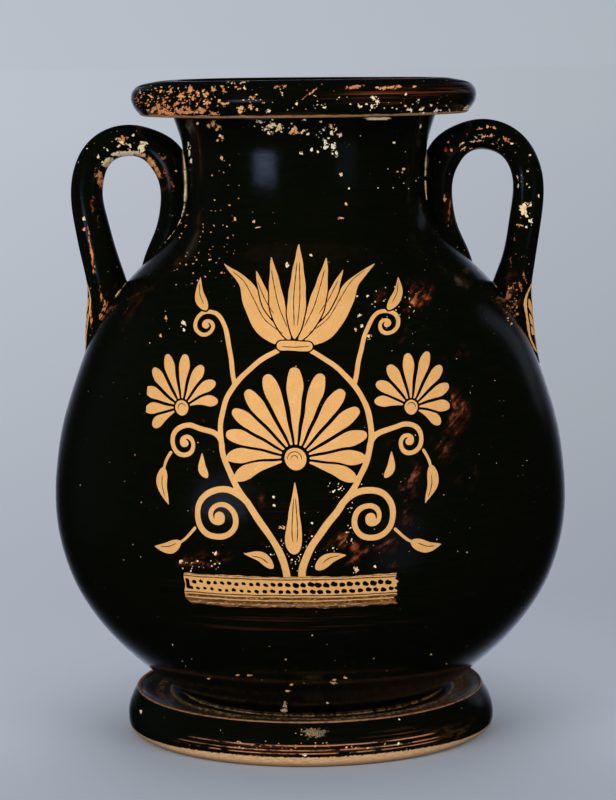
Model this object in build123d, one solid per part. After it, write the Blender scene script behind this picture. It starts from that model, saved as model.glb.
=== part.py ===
from build123d import *
import math
import os

# Pelike: a two-handled storage jar of fired clay with a black gloss finish.
# Frame: millimetres, +Z up, origin on the axis at the centre of the foot's
# resting plane. The decorated front faces -Y, the handles stand on -X and +X.

# ---------------------------------------------------------------- dimensions
HEIGHT = 280.0            # foot to top of the mouth
LIP_UNDER_Z = 265.0       # flat underside of the mouth ring, top of the neck
LIP_INNER_R = 50.6        # bore of the mouth
LIP_LAND_IN, LIP_LAND_OUT = 54.6, 58.6   # narrow level band on top of the mouth
FLOOR_Z = 12.0            # underside of the jar's own floor, inside the foot
FLOOR_FLAT_R = 40.0       # level part of that underside
FLOOR_TOP_Z = 19.5        # inside of the floor
SEAT_Z = 15.0             # level land of the foot, under the fillet ring
FOOT_REST_IN, FOOT_REST_OUT = 63.0, 76.2  # resting ring
FILLET_OUT_R = 61.9       # outer edge of the fillet ring between jar and foot
LUTE_LAP = 1.5            # how far the clay slurry laps past a handle root
LUTE_THICK = 1.1          # how thick it stands on the jar's wall

# Outer wall of the jar, (radius, height), from its underside to the neck top.
WALL = [
    (46.5, 12.7), (52.0, 14.6), (55.8, 16.8), (66.8, 24.9), (79.0, 35.1),
    (89.1, 45.4), (96.7, 55.6), (102.4, 65.9), (106.25, 76.2), (108.75, 86.5),
    (110.05, 101.0), (108.95, 117.3), (106.45, 132.7), (102.05, 148.1),
    (96.5, 163.5), (89.3, 178.9), (82.7, 188.3), (76.4, 195.4),
    (71.4, 200.5), (62.4, 209.7), (55.35, 218.3), (51.95, 226.8),
    (51.06, 235.4), (51.5, 246.1), (52.6, 253.8), (54.9, 261.5),
    (56.1, LIP_UNDER_Z),
]

# Wall thickness of the thrown clay by height.
THICK = [(16.0, 8.0), (60.0, 6.6), (110.0, 6.0), (200.0, 5.6), (265.0, 5.5)]

# Handles: (distance from the axis, height, thickness across the rod in the
# plane of the handle, width of the rod front to back). The rod starts inside
# the shoulder, rises along the neck, arches and comes down to a broad root.
HANDLE_L = [
    (66.5, 194.5, 12.0, 12.0), (63.6, 201.9, 13.3, 15.5), (58.9, 213.2, 13.4, 17.0),
    (56.05, 224.7, 13.4, 17.0), (56.0, 235.6, 13.4, 16.0), (59.6, 247.0, 15.2, 16.2),
    (67.2, 252.7, 13.6, 14.2), (75.1, 254.6, 13.4, 14.0), (83.0, 253.0, 13.3, 14.0),
    (89.4, 247.8, 13.2, 14.0), (92.9, 239.8, 13.5, 14.0), (93.65, 231.1, 13.7, 14.0),
    (92.2, 220.2, 14.3, 14.4), (89.8, 209.5, 14.9, 15.0), (87.5, 200.0, 15.9, 16.4),
    (85.4, 190.0, 17.6, 20.0), (86.2, 177.0, 18.2, 27.0), (88.3, 167.0, 15.2, 26.0),
    (91.3, 157.0, 11.0, 18.0),
]
HANDLE_R = [
    (66.5, 194.5, 12.0, 12.0), (63.6, 201.9, 13.3, 15.5), (58.9, 213.2, 13.4, 17.0),
    (56.0, 224.7, 13.4, 17.0), (55.9, 235.6, 13.3, 16.0), (59.5, 247.7, 15.0, 16.2),
    (67.1, 253.7, 13.1, 14.0), (75.2, 255.5, 12.9, 13.8), (84.0, 253.3, 12.8, 13.8),
    (91.0, 246.8, 12.8, 13.8), (94.4, 237.8, 13.0, 13.8), (94.6, 229.0, 13.1, 13.8),
    (93.4, 218.7, 13.4, 14.2), (91.6, 208.0, 13.7, 15.0), (89.6, 198.0, 14.9, 16.6),
    (87.4, 189.0, 17.0, 20.5), (87.6, 177.0, 18.4, 28.0), (89.8, 167.0, 16.2, 27.0),
    (93.7, 155.5, 12.6, 20.0),
]


def wall_thickness(z):
    for (z0, t0), (z1, t1) in zip(THICK, THICK[1:]):
        if z <= z1:
            return t0 + (t1 - t0) * max(0.0, z - z0) / (z1 - z0)
    return THICK[-1][1]


def inner_wall():
    """The wall stations moved inward along their normals."""
    pts = []
    for i in range(3, len(WALL)):
        a, b = WALL[i - 1], WALL[min(i + 1, len(WALL) - 1)]
        dr, dz = b[0] - a[0], b[1] - a[1]
        n = math.hypot(dr, dz)
        t = wall_thickness(WALL[i][1])
        pts.append((WALL[i][0] - dz / n * t, WALL[i][1] + dr / n * t))
    pts[-1] = (LIP_INNER_R, LIP_UNDER_Z)
    return [p for p in pts if p[1] > FLOOR_TOP_Z + 5.0]


def xz(points):
    return [(r, 0, z) for r, z in points]


def turned(*edges):
    """Revolve a closed outline in the XZ plane about the jar's axis."""
    face = make_face(Wire(list(edges)).edges())
    return revolve(face, Axis.Z, 360)


# ---------------------------------------------------------------- thrown jar
outer = Spline(*xz(WALL), tangents=[(1, 0, 0.12), (0.42, 0, 1)])
under = Polyline((0, 0, FLOOR_Z), (FLOOR_FLAT_R, 0, FLOOR_Z), (46.5, 0, 12.7))
inner_pts = inner_wall()
inner = Spline(*xz(inner_pts))
floor_in = Spline((0, 0, FLOOR_TOP_Z), (40.0, 0, 20.4), (58.0, 0, 26.6),
                  (inner_pts[0][0], 0, inner_pts[0][1]),
                  tangents=[(1, 0, 0), (0.62, 0, 0.78)])

jar = turned(
    *under.edges(), outer,
    Line((56.1, 0, LIP_UNDER_Z), (LIP_INNER_R, 0, LIP_UNDER_Z)),
    inner, floor_in,
    Line((0, 0, FLOOR_TOP_Z), (0, 0, FLOOR_Z)),
)
filled = turned(
    *under.edges(), outer,
    Line((56.1, 0, LIP_UNDER_Z), (0, 0, LIP_UNDER_Z)),
    Line((0, 0, LIP_UNDER_Z), (0, 0, FLOOR_Z)),
)

# ---------------------------------------------------------------- mouth ring
lip = turned(
    Line((LIP_INNER_R, 0, LIP_UNDER_Z), (69.2, 0, LIP_UNDER_Z)),
    Spline((69.2, 0, LIP_UNDER_Z), (69.9, 0, 265.5), (71.3, 0, 267.3),
           (72.6, 0, 269.3), (73.45, 0, 271.6), (73.5, 0, 274.1),
           (72.6, 0, 276.2), (70.4, 0, 277.9), (65.9, 0, 279.1),
           (LIP_LAND_OUT, 0, HEIGHT), tangents=[(1, 0, 0.25), (-1, 0, 0)]),
    Line((LIP_LAND_OUT, 0, HEIGHT), (LIP_LAND_IN, 0, HEIGHT)),
    Spline((LIP_LAND_IN, 0, HEIGHT), (51.6, 0, 277.9), (50.3, 0, 273.0),
           (LIP_INNER_R, 0, LIP_UNDER_Z), tangents=[(-1, 0, 0), (0.1, 0, -1)]),
)

# ---------------------------------------------------------------- foot
foot_raw = turned(
    Line((FOOT_REST_IN, 0, 0), (FOOT_REST_OUT, 0, 0)),
    Spline((FOOT_REST_OUT, 0, 0), (79.0, 0, 2.1), (79.7, 0, 5.2),
           (79.2, 0, 9.7), (77.5, 0, 14.2), (75.2, 0, 18.2),
           tangents=[(1, 0, 0.4), (-0.60, 0, 1)]),
    Line((75.2, 0, 18.2), (74.3, 0, 18.5)),
    Spline((74.3, 0, 18.5), (70.0, 0, 16.5), (65.4, 0, 15.4),
           (FILLET_OUT_R, 0, 15.3), tangents=[(-1, 0, -0.45), (-1, 0, 0.05)]),
    Line((FILLET_OUT_R, 0, 15.3), (FILLET_OUT_R, 0, SEAT_Z)),
    Line((FILLET_OUT_R, 0, SEAT_Z), (44.0, 0, SEAT_Z)),
    Line((44.0, 0, SEAT_Z), (44.0, 0, 9.6)),
    Line((44.0, 0, 9.6), (50.0, 0, 8.6)),
    Line((50.0, 0, 8.6), (FOOT_REST_IN, 0, 0)),
)
foot = foot_raw - filled

# ---------------------------------------------------------------- fillet ring
ring_raw = turned(
    Line((50.0, 0, SEAT_Z), (FILLET_OUT_R, 0, SEAT_Z)),
    Line((FILLET_OUT_R, 0, SEAT_Z), (FILLET_OUT_R, 0, 15.9)),
    Spline((FILLET_OUT_R, 0, 15.9), (61.0, 0, 16.5), (59.4, 0, 16.7),
           (57.6, 0, 16.15), (56.2, 0, 16.2),
           tangents=[(-0.5, 0, 1), (-1, 0, 0.1)]),
    Line((56.2, 0, 16.2), (50.0, 0, 16.2)),
    Line((50.0, 0, 16.2), (50.0, 0, SEAT_Z)),
)
fillet_ring = ring_raw - filled


# ---------------------------------------------------------------- handles
def rod(stations, side, grow=0.0):
    """A rod of oval section through the stations, on one side of the jar."""
    sections = []
    n = len(stations)
    for i, (r, z, t, w) in enumerate(stations):
        a, b = stations[max(i - 1, 0)], stations[min(i + 1, n - 1)]
        direction = Vector(side * (b[0] - a[0]), 0, b[1] - a[1])
        plane = Plane(origin=(side * r, 0, z), x_dir=(0, 1, 0), z_dir=direction)
        sections.append(plane * Ellipse(w / 2 + grow, t / 2 + grow))
    return loft(sections)


def solids_outside(shape):
    """Solids by size, largest first."""
    return sorted(shape.solids(), key=lambda s: -s.volume)


def proud(points, lift):
    """The same stations moved outward along their normals."""
    pts = []
    for i in range(1, len(points) - 1):
        a, b = points[i - 1], points[i + 1]
        dr, dz = b[0] - a[0], b[1] - a[1]
        n = math.hypot(dr, dz)
        pts.append((points[i][0] + dz / n * lift, points[i][1] - dr / n * lift))
    return pts


# Jar with a skin of slurry all over it: only what laps round a root is kept.
skin_pts = [p for p in proud(WALL, LUTE_THICK) if p[1] > 140.0]
skinned = turned(
    Line((0, 0, skin_pts[0][1]), (skin_pts[0][0], 0, skin_pts[0][1])),
    Spline(*xz(skin_pts)),
    Line((skin_pts[-1][0], 0, skin_pts[-1][1]), (0, 0, skin_pts[-1][1])),
    Line((0, 0, skin_pts[-1][1]), (0, 0, skin_pts[0][1])),
)

handles = {}
lutings = {}
for name, stations, side in (("left", HANDLE_L, -1), ("right", HANDLE_R, 1)):
    full = rod(stations, side)
    handles["handle_" + name] = solids_outside(full - filled)[0]
    band = (rod(stations, side, LUTE_LAP) & skinned) - filled - full
    for s in solids_outside(band):
        where = "neck" if s.center().Z > 203.0 else "shoulder"
        lutings.setdefault("luting_" + where + "_" + name, []).append(s)

os.makedirs("parts", exist_ok=True)
out = {
    "jar_wall": jar,
    "mouth_ring": lip,
    "foot_ring": foot,
    "foot_fillet": fillet_ring,
}
out.update(handles)
for name, solids in lutings.items():
    print(name, [round(s.volume, 1) for s in solids])
    out[name] = solids[0]
for name, shape in out.items():
    solids = shape.solids() if hasattr(shape, "solids") else [shape]
    print(name, len(solids), round(sum(s.volume for s in solids), 1))
    export_step(solids[0] if len(solids) == 1 else Compound(children=list(solids)),
                "parts/" + name + ".step")
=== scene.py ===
import bpy
import math
import numpy as np
from mathutils import Matrix, Vector
from mathutils.bvhtree import BVHTree


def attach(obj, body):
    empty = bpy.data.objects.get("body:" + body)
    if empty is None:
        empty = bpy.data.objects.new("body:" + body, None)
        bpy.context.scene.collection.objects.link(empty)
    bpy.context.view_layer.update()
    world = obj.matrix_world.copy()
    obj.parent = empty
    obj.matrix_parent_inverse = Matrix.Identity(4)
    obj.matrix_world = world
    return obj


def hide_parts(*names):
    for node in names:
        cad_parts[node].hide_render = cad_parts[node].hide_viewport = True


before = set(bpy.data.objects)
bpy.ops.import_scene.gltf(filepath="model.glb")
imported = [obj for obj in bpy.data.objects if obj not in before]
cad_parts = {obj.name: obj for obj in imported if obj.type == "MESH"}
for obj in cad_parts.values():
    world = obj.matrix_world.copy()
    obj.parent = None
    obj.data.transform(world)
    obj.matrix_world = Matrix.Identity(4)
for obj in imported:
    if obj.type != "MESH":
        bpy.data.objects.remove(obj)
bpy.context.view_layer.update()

MM = 0.001
scene = bpy.context.scene

# ------------------------------------------------------------------ outlines
# The jar's outer wall, (radius, height) in millimetres, as in the frame.
WALL = [
    (46.5, 12.7), (52.0, 14.6), (55.8, 16.8), (66.8, 24.9), (79.0, 35.1),
    (89.1, 45.4), (96.7, 55.6), (102.4, 65.9), (106.25, 76.2), (108.75, 86.5),
    (110.05, 101.0), (108.95, 117.3), (106.45, 132.7), (102.05, 148.1),
    (96.5, 163.5), (89.3, 178.9), (82.7, 188.3), (76.4, 195.4),
    (71.4, 200.5), (62.4, 209.7), (55.35, 218.3), (51.95, 226.8),
    (51.06, 235.4), (51.5, 246.1), (52.6, 253.8), (54.9, 261.5),
    (56.1, 265.0),
]
# Handle stations: distance from the axis, height, thickness, width.
HANDLE_L = [
    (66.5, 194.5, 12.0, 12.0), (63.6, 201.9, 13.3, 15.5), (58.9, 213.2, 13.4, 17.0),
    (56.05, 224.7, 13.4, 17.0), (56.0, 235.6, 13.4, 16.0), (59.6, 247.0, 15.2, 16.2),
    (67.2, 252.7, 13.6, 14.2), (75.1, 254.6, 13.4, 14.0), (83.0, 253.0, 13.3, 14.0),
    (89.4, 247.8, 13.2, 14.0), (92.9, 239.8, 13.5, 14.0), (93.65, 231.1, 13.7, 14.0),
    (92.2, 220.2, 14.3, 14.4), (89.8, 209.5, 14.9, 15.0), (87.5, 200.0, 15.9, 16.4),
    (85.4, 190.0, 17.6, 20.0), (86.2, 177.0, 18.2, 27.0), (88.3, 167.0, 15.2, 26.0),
    (91.3, 157.0, 11.0, 18.0),
]
HANDLE_R = [
    (66.5, 194.5, 12.0, 12.0), (63.6, 201.9, 13.3, 15.5), (58.9, 213.2, 13.4, 17.0),
    (56.0, 224.7, 13.4, 17.0), (55.9, 235.6, 13.3, 16.0), (59.5, 247.7, 15.0, 16.2),
    (67.1, 253.7, 13.1, 14.0), (75.2, 255.5, 12.9, 13.8), (84.0, 253.3, 12.8, 13.8),
    (91.0, 246.8, 12.8, 13.8), (94.4, 237.8, 13.0, 13.8), (94.6, 229.0, 13.1, 13.8),
    (93.4, 218.7, 13.4, 14.2), (91.6, 208.0, 13.7, 15.0), (89.6, 198.0, 14.9, 16.6),
    (87.4, 189.0, 17.0, 20.5), (87.6, 177.0, 18.4, 28.0), (89.8, 167.0, 16.2, 27.0),
    (93.7, 155.5, 12.6, 20.0),
]


# ------------------------------------------------------------------ numbers
def spline(points, start=None, end=None):
    """Natural or clamped cubic through the points by chord length: f(u), total."""
    P = np.array(points, float)
    d = np.linalg.norm(np.diff(P[:, :2], axis=0), axis=1)
    u = np.concatenate([[0], np.cumsum(d)])
    n = len(P)
    A = np.zeros((n, n))
    B = np.zeros((n, P.shape[1]))
    for i in range(1, n - 1):
        A[i, i - 1], A[i, i], A[i, i + 1] = d[i - 1], 2 * (d[i - 1] + d[i]), d[i]
        B[i] = 6 * ((P[i + 1] - P[i]) / d[i] - (P[i] - P[i - 1]) / d[i - 1])
    A[0, 0] = A[-1, -1] = 1
    if start is not None:
        A[0, 0], A[0, 1] = 2 * d[0], d[0]
        B[0] = 6 * ((P[1] - P[0]) / d[0] - np.array(start, float))
    if end is not None:
        A[-1, -2], A[-1, -1] = d[-1], 2 * d[-1]
        B[-1] = 6 * (np.array(end, float) - (P[-1] - P[-2]) / d[-1])
    M = np.linalg.solve(A, B)

    def f(x):
        x = np.clip(np.atleast_1d(np.asarray(x, float)), 0, u[-1])
        i = np.clip(np.searchsorted(u, x, side="right") - 1, 0, n - 2)
        h = d[i][:, None]
        a, b = (u[i + 1] - x)[:, None], (x - u[i])[:, None]
        return (M[i] * a ** 3 + M[i + 1] * b ** 3) / (6 * h) \
            + (P[i] / h - M[i] * h / 6) * a + (P[i + 1] / h - M[i + 1] * h / 6) * b
    return f, u[-1]


def unit(v):
    return v / np.maximum(np.linalg.norm(v, axis=-1, keepdims=True), 1e-12)


def arc(points):
    return np.concatenate([[0], np.cumsum(np.linalg.norm(np.diff(points, axis=0), axis=1))])


def smoothstep(a, b, x):
    t = np.clip((x - a) / (b - a), 0, 1)
    return t * t * (3 - 2 * t)


# Dense table of the outer wall: radius, height, outward normal, arc length.
_wall, _wall_len = spline(WALL, start=unit(np.array([1, 0.12])), end=unit(np.array([0.42, 1.0])))
WT = _wall(np.linspace(0, _wall_len, 2400))
WA = arc(WT)
_t = unit(np.gradient(WT, axis=0))
WN = np.c_[_t[:, 1], -_t[:, 0]]


def wall_r(z):
    return np.interp(z, WT[:, 1], WT[:, 0])


def wall_arc_at_z(z):
    return np.interp(z, WT[:, 1], WA)


def wobble(theta, z):
    """How far hand throwing leaves the wall off a true circle, in mm."""
    lean = np.interp(z, [20, 34, 60, 110, 165, 228, 262], [0.2, 0.45, 0.5, 0.2, 0.3, -0.25, -0.45])
    return lean * np.sin(theta) + 0.16 * np.cos(2 * theta + 0.9 + z * 0.004) \
        + 0.07 * np.cos(3 * theta - 1.7 + z * 0.017) \
        + 0.04 * np.sin(z * 0.115 + 0.6 * np.cos(theta)) \
        + 0.03 * np.cos(5 * theta + z * 0.03)


def wall_point(theta, a, lift=0.0):
    """Point and normal on the jar at azimuth theta from the front (-Y), arc length a."""
    r, z = np.interp(a, WA, WT[:, 0]), np.interp(a, WA, WT[:, 1])
    nr, nz = np.interp(a, WA, WN[:, 0]), np.interp(a, WA, WN[:, 1])
    rr = r + wobble(theta, z) + lift * nr
    s, c = np.sin(theta), -np.cos(theta)
    return np.stack([rr * s, rr * c, z + lift * nz], -1), np.stack([nr * s, nr * c, nz], -1)


def wall_distance(p):
    """Signed distance of points (mm) from the jar's outer wall, and its normal there."""
    rho = np.hypot(p[:, 0], p[:, 1])
    th = np.arctan2(p[:, 0], -p[:, 1])
    q = np.c_[rho - wobble(th, p[:, 2]), p[:, 2]]
    d, n = np.empty(len(p)), np.empty((len(p), 3))
    T, N = WT[::3], WN[::3]
    for k in range(0, len(p), 4000):
        part = q[k:k + 4000]
        dd = ((part[:, None, :] - T[None]) ** 2).sum(-1)
        i = dd.argmin(1)
        d[k:k + 4000] = ((part - T[i]) * N[i]).sum(1)
        n[k:k + 4000, 2] = N[i, 1]
        n[k:k + 4000, 0] = N[i, 0] * np.sin(th[k:k + 4000])
        n[k:k + 4000, 1] = -N[i, 0] * np.cos(th[k:k + 4000])
    return d, n


# ------------------------------------------------------------------ the camera
PX = 0.428                 # millimetres to a pixel of the frame at the axis
CAM_D = 2764.0 * PX        # from the axis
CAM_H = 684.1 * PX         # above the resting plane
CAM_PITCH = math.radians(7.26)
CAM_ROLL = math.radians(-0.67)
CAM_X = -0.8 * PX


def seen_at(p):
    """Where points (mm) fall in the 616 x 800 frame, and the direction to the camera."""
    cp, sp = math.cos(CAM_PITCH), math.sin(CAM_PITCH)
    X, Y, Z = p[:, 0] - CAM_X, p[:, 1] + CAM_D, p[:, 2] - CAM_H
    dep, up = cp * Y - sp * Z, sp * Y + cp * Z
    u, v = 2764.0 * X / dep, -2764.0 * up / dep
    s, c = math.sin(CAM_ROLL), math.cos(CAM_ROLL)
    to_cam = unit(np.array([CAM_X, -CAM_D, CAM_H]) - p)
    return 308 + c * u - s * v, 400 + s * u + c * v, to_cam


cam_data = bpy.data.cameras.new("camera")
cam = bpy.data.objects.new("camera", cam_data)
scene.collection.objects.link(cam)
cam_data.sensor_width = 36.0
cam_data.lens = 2764.0 / 800.0 * 36.0
cam_data.clip_start, cam_data.clip_end = 0.05, 60.0
cam.matrix_world = (
    Matrix.Translation((CAM_X * MM, -CAM_D * MM, CAM_H * MM))
    @ Matrix.Rotation(math.radians(90) - CAM_PITCH, 4, "X")
    @ Matrix.Rotation(CAM_ROLL, 4, "Z")
)
scene.camera = cam


# ------------------------------------------------------------------ mesh tools
def make_mesh(name, verts, faces, attrs=None, smooth=True):
    """verts in mm."""
    me = bpy.data.meshes.new(name)
    me.from_pydata((np.asarray(verts) * MM).tolist(), [], faces)
    me.update()
    me.polygons.foreach_set("use_smooth", np.full(len(me.polygons), smooth))
    for key, val in (attrs or {}).items():
        a = me.attributes.new(key, "FLOAT", "POINT")
        a.data.foreach_set("value", np.asarray(val, np.float32))
    ob = bpy.data.objects.new(name, me)
    scene.collection.objects.link(ob)
    return ob


def add_attr(ob, key, val):
    a = ob.data.attributes.new(key, "FLOAT", "POINT")
    a.data.foreach_set("value", np.asarray(val, np.float32))


def coords(ob):
    co = np.empty(len(ob.data.vertices) * 3, np.float32)
    ob.data.vertices.foreach_get("co", co)
    return co.reshape(-1, 3).astype(float) / MM


def normals(ob):
    no = np.empty(len(ob.data.vertices) * 3, np.float32)
    ob.data.vertices.foreach_get("normal", no)
    return no.reshape(-1, 3).astype(float)


def ring_faces(rows, cols, closed_rows=False):
    j = np.arange(rows if closed_rows else rows - 1)[:, None]
    i = np.arange(cols)[None, :]
    a = j * cols + i
    b = j * cols + (i + 1) % cols
    c = ((j + 1) % rows) * cols + (i + 1) % cols
    d = ((j + 1) % rows) * cols + i
    return np.stack([a + 0 * b, b, c, d], -1).reshape(-1, 4)


def turned(name, outline, cols, shape=None, closed=True, poles=False):
    """Revolve an outline of (radius, height) in mm, run with the outside on its right."""
    P = np.asarray(outline, float)
    th = -np.pi + 2 * np.pi * np.arange(cols) / cols
    if poles:
        body = P[1:-1]
    else:
        body = P
    R = body[:, 0][:, None] + 0 * th[None]
    Z = body[:, 1][:, None] + 0 * th[None]
    if shape is not None:
        R, Z = shape(R, Z, th[None, :] + 0 * R)
    V = np.stack([R * np.sin(th), -R * np.cos(th), Z], -1).reshape(-1, 3)
    rows = len(body)
    F = ring_faces(rows, cols, closed_rows=closed and not poles).tolist()
    if poles:
        n = len(V)
        V = np.vstack([V, [[0, 0, P[0, 1]], [0, 0, P[-1, 1]]]])
        for i in range(cols):
            F.append([n, (i + 1) % cols, i])
            F.append([n + 1, (rows - 1) * cols + i, (rows - 1) * cols + (i + 1) % cols])
    return make_mesh(name, V, F)


def resample(points, step):
    """Even steps along a polyline that may have corners kept as its own points."""
    P = np.asarray(points, float)
    a = arc(P)
    n = max(2, int(round(a[-1] / step)) + 1)
    x = np.linspace(0, a[-1], n)
    return np.c_[[np.interp(x, a, P[:, k]) for k in range(P.shape[1])]].T


def curve_pts(points, step, start=None, end=None):
    f, total = spline(points,
                      None if start is None else unit(np.array(start, float)),
                      None if end is None else unit(np.array(end, float)))
    return f(np.linspace(0, total, max(3, int(round(total / step)) + 1)))


# ------------------------------------------------------------------ jar wall
def inner_outline():
    pts = []
    zs, ts = [16.0, 60.0, 110.0, 200.0, 265.0], [8.0, 6.6, 6.0, 5.6, 5.5]
    for i in range(3, len(WALL)):
        a, b = WALL[i - 1], WALL[min(i + 1, len(WALL) - 1)]
        dr, dz = b[0] - a[0], b[1] - a[1]
        n = math.hypot(dr, dz)
        t = np.interp(WALL[i][1], zs, ts)
        pts.append((WALL[i][0] - dz / n * t, WALL[i][1] + dr / n * t))
    pts[-1] = (50.6, 265.0)
    return [p for p in pts if p[1] > 24.5]


outer = _wall(np.linspace(0, _wall_len, 236))
inner_p = inner_outline()
inner = curve_pts(inner_p, 3.6)
floor_in = curve_pts([(0, 19.5), (40.0, 20.4), (58.0, 26.6), inner_p[0]], 5.0,
                     start=(1, 0), end=(0.62, 0.78))
outline = np.vstack([
    [[0, 12.0], [14, 12.0], [28, 12.0], [39.0, 12.0], [43.5, 12.2]], outer,
    [[54.6, 265.0], [52.0, 265.0]], inner[::-1], floor_in[::-1][1:-1], [[0, 19.5]]])


def wall_shape(R, Z, th):
    w = wobble(th, Z)
    fade = smoothstep(14.0, 24.0, Z)
    return R + w * fade, Z


jar = turned("jar_wall_clay", outline, 288, wall_shape, poles=True)
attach(jar, "root")
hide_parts("jar_wall")

# ------------------------------------------------------------------ mouth ring
lip_outer = curve_pts([(69.2, 265.0), (69.9, 265.5), (71.3, 267.3), (72.6, 269.3),
                       (73.45, 271.6), (73.5, 274.1), (72.6, 276.2), (70.4, 277.9),
                       (65.9, 279.1), (58.6, 280.0)], 0.7, start=(1, 0.25), end=(-1, 0))
lip_inner = curve_pts([(54.6, 280.0), (51.6, 277.9), (50.3, 273.0), (50.6, 265.0)],
                      1.0, start=(-1, 0), end=(0.1, -1))
lip_outline = np.vstack([
    [[r, 265.0] for r in np.linspace(50.6, 68.6, 14)[1:]],
    [[69.0, 264.98]], lip_outer[1:], [[57.3, 280.0], [56.0, 280.0]], lip_inner])


def lip_shape(R, Z, th):
    w = 0.20 * np.cos(2 * th + 0.4) + 0.10 * np.cos(3 * th + 2.0) + 0.05 * np.cos(7 * th) - 0.75 * np.sin(th)
    k = smoothstep(56.5, 66.0, R)
    dz = 0.16 * np.cos(2 * th - 0.8) + 0.08 * np.cos(3 * th + 0.5)
    lo = smoothstep(265.0, 268.0, Z)
    return R + w * k, Z - 0.18 * lo + dz * lo * 0.9


lip = turned("mouth_ring_clay", lip_outline, 360, lip_shape)
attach(lip, "root")
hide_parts("mouth_ring")

# ------------------------------------------------------------------ foot
foot_side = curve_pts([(76.2, 0), (79.0, 2.1), (79.7, 5.2), (79.2, 9.7), (77.5, 14.2),
                       (75.2, 18.2)], 0.6, start=(1, 0.4), end=(-0.60, 1))
foot_dish = curve_pts([(74.3, 18.5), (70.0, 16.5), (65.4, 15.4), (61.7, 15.3)], 0.6,
                      start=(-1, -0.45), end=(-1, 0.05))
foot_outline = np.vstack([
    [[63.0, 0.0], [66.0, 0.0], [70.0, 0.0], [74.0, 0.0], [75.7, 0.0]], foot_side,
    [[75.05, 18.42], [74.75, 18.52]], foot_dish,
    [[60.0, 15.0], [56.0, 15.0], [52.5, 14.6], [46.5, 12.4], [44.5, 11.2], [44.2, 9.7]],
    resample([[45.0, 9.45], [50.0, 8.6], [62.4, 0.25]], 1.2)])


def foot_shape(R, Z, th):
    w = 0.14 * np.cos(2 * th + 1.1) + 0.08 * np.cos(3 * th - 0.4) + 0.05 * np.cos(9 * th + 1) \
        - np.interp(Z, [0, 5, 18.5], [0.40, 0.45, 1.0]) * np.sin(th)
    k = smoothstep(64.0, 72.0, R)
    return R + w * k, Z + (0.10 * np.cos(2 * th) + 0.05 * np.cos(5 * th)) * k * smoothstep(4.0, 15.0, Z)


foot = turned("foot_ring_clay", foot_outline, 360, foot_shape)
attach(foot, "root")
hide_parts("foot_ring")

fillet_outline = np.vstack([
    curve_pts([(61.9, 15.15), (61.95, 15.9), (61.2, 16.5), (59.4, 16.75), (57.6, 16.05),
               (56.7, 15.95), (55.7, 16.7)], 0.35),
    [[54.6, 16.0], [54.0, 15.2], [57.0, 14.9], [60.0, 14.9]]])


def fillet_shape(R, Z, th):
    w = 0.12 * np.cos(3 * th + 0.3) + 0.08 * np.cos(8 * th + 1.0) + 0.05 * np.cos(17 * th)
    k = smoothstep(57.0, 61.0, R)
    return R + w * k, Z + 0.05 * np.cos(11 * th + 2) * smoothstep(15.6, 16.6, Z)


fillet = turned("foot_fillet_clay", fillet_outline, 360, fillet_shape)
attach(fillet, "root")
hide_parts("foot_fillet")


# ------------------------------------------------------------------ handles
def handle_grid(stations, side, step=0.85, cols=72):
    f, total = spline(stations)
    n = int(total / step)
    P = f(np.linspace(0, total, n))
    C, T = P[:, :2], unit(np.gradient(P[:, :2], axis=0))
    N = np.c_[T[:, 1], -T[:, 0]]          # away from the loop's hollow, on the outside
    # the rod bends over from the neck to the belly: its outside is on the left of the path
    N = -N
    a = 2 * np.pi * np.arange(cols) / cols
    e = 2.0 / 2.15
    ca, sa = np.cos(a), np.sin(a)
    X = np.sign(ca) * np.abs(ca) ** e
    Y = np.sign(sa) * np.abs(sa) ** e
    u = np.linspace(0, 1, n)
    # a faint spine down the outer leg, and the unevenness of a rod rolled by hand
    spine = smoothstep(0.50, 0.62, u) * (1 - smoothstep(0.80, 0.92, u))
    k = 1 + 0.030 * spine[:, None] * np.exp(-(np.minimum(a, 2 * np.pi - a) / 0.30) ** 2)[None]
    k = k + 0.010 * np.sin(u[:, None] * 31 + 2 * a[None] + side) \
        + 0.008 * np.cos(u[:, None] * 53 - 3 * a[None])
    t, w = P[:, 2][:, None] / 2 * k, P[:, 3][:, None] / 2 * k
    R = C[:, 0][:, None] + N[:, 0][:, None] * t * X[None]
    Z = C[:, 1][:, None] + N[:, 1][:, None] * t * X[None]
    Yy = w * Y[None] + 0.25 * np.sin(u[:, None] * 9 + side)
    return np.stack([side * R, Yy, Z], -1)


def handle_mesh(name, stations, side):
    G = handle_grid(stations, side)
    rows, cols, _ = G.shape
    V = G.reshape(-1, 3)
    d, n = wall_distance(V)
    deep = d < -1.6
    V = V.copy()
    V[deep] += n[deep] * (-1.6 - d[deep])[:, None]
    F = ring_faces(rows, cols).tolist()
    a, b = V[:cols].mean(0), V[-cols:].mean(0)
    ends = np.array([a, b])
    de, ne = wall_distance(ends)
    ends += ne * (-2.2 - de)[:, None]
    k = len(V)
    V = np.vstack([V, ends])
    for i in range(cols):
        F.append([k, (i + 1) % cols, i])
        F.append([k + 1, (rows - 1) * cols + i, (rows - 1) * cols + (i + 1) % cols])
    if side > 0:
        F = [f[::-1] for f in F]
    ob = make_mesh(name, V, F)
    return ob, G, d.reshape(rows, cols)


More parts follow.
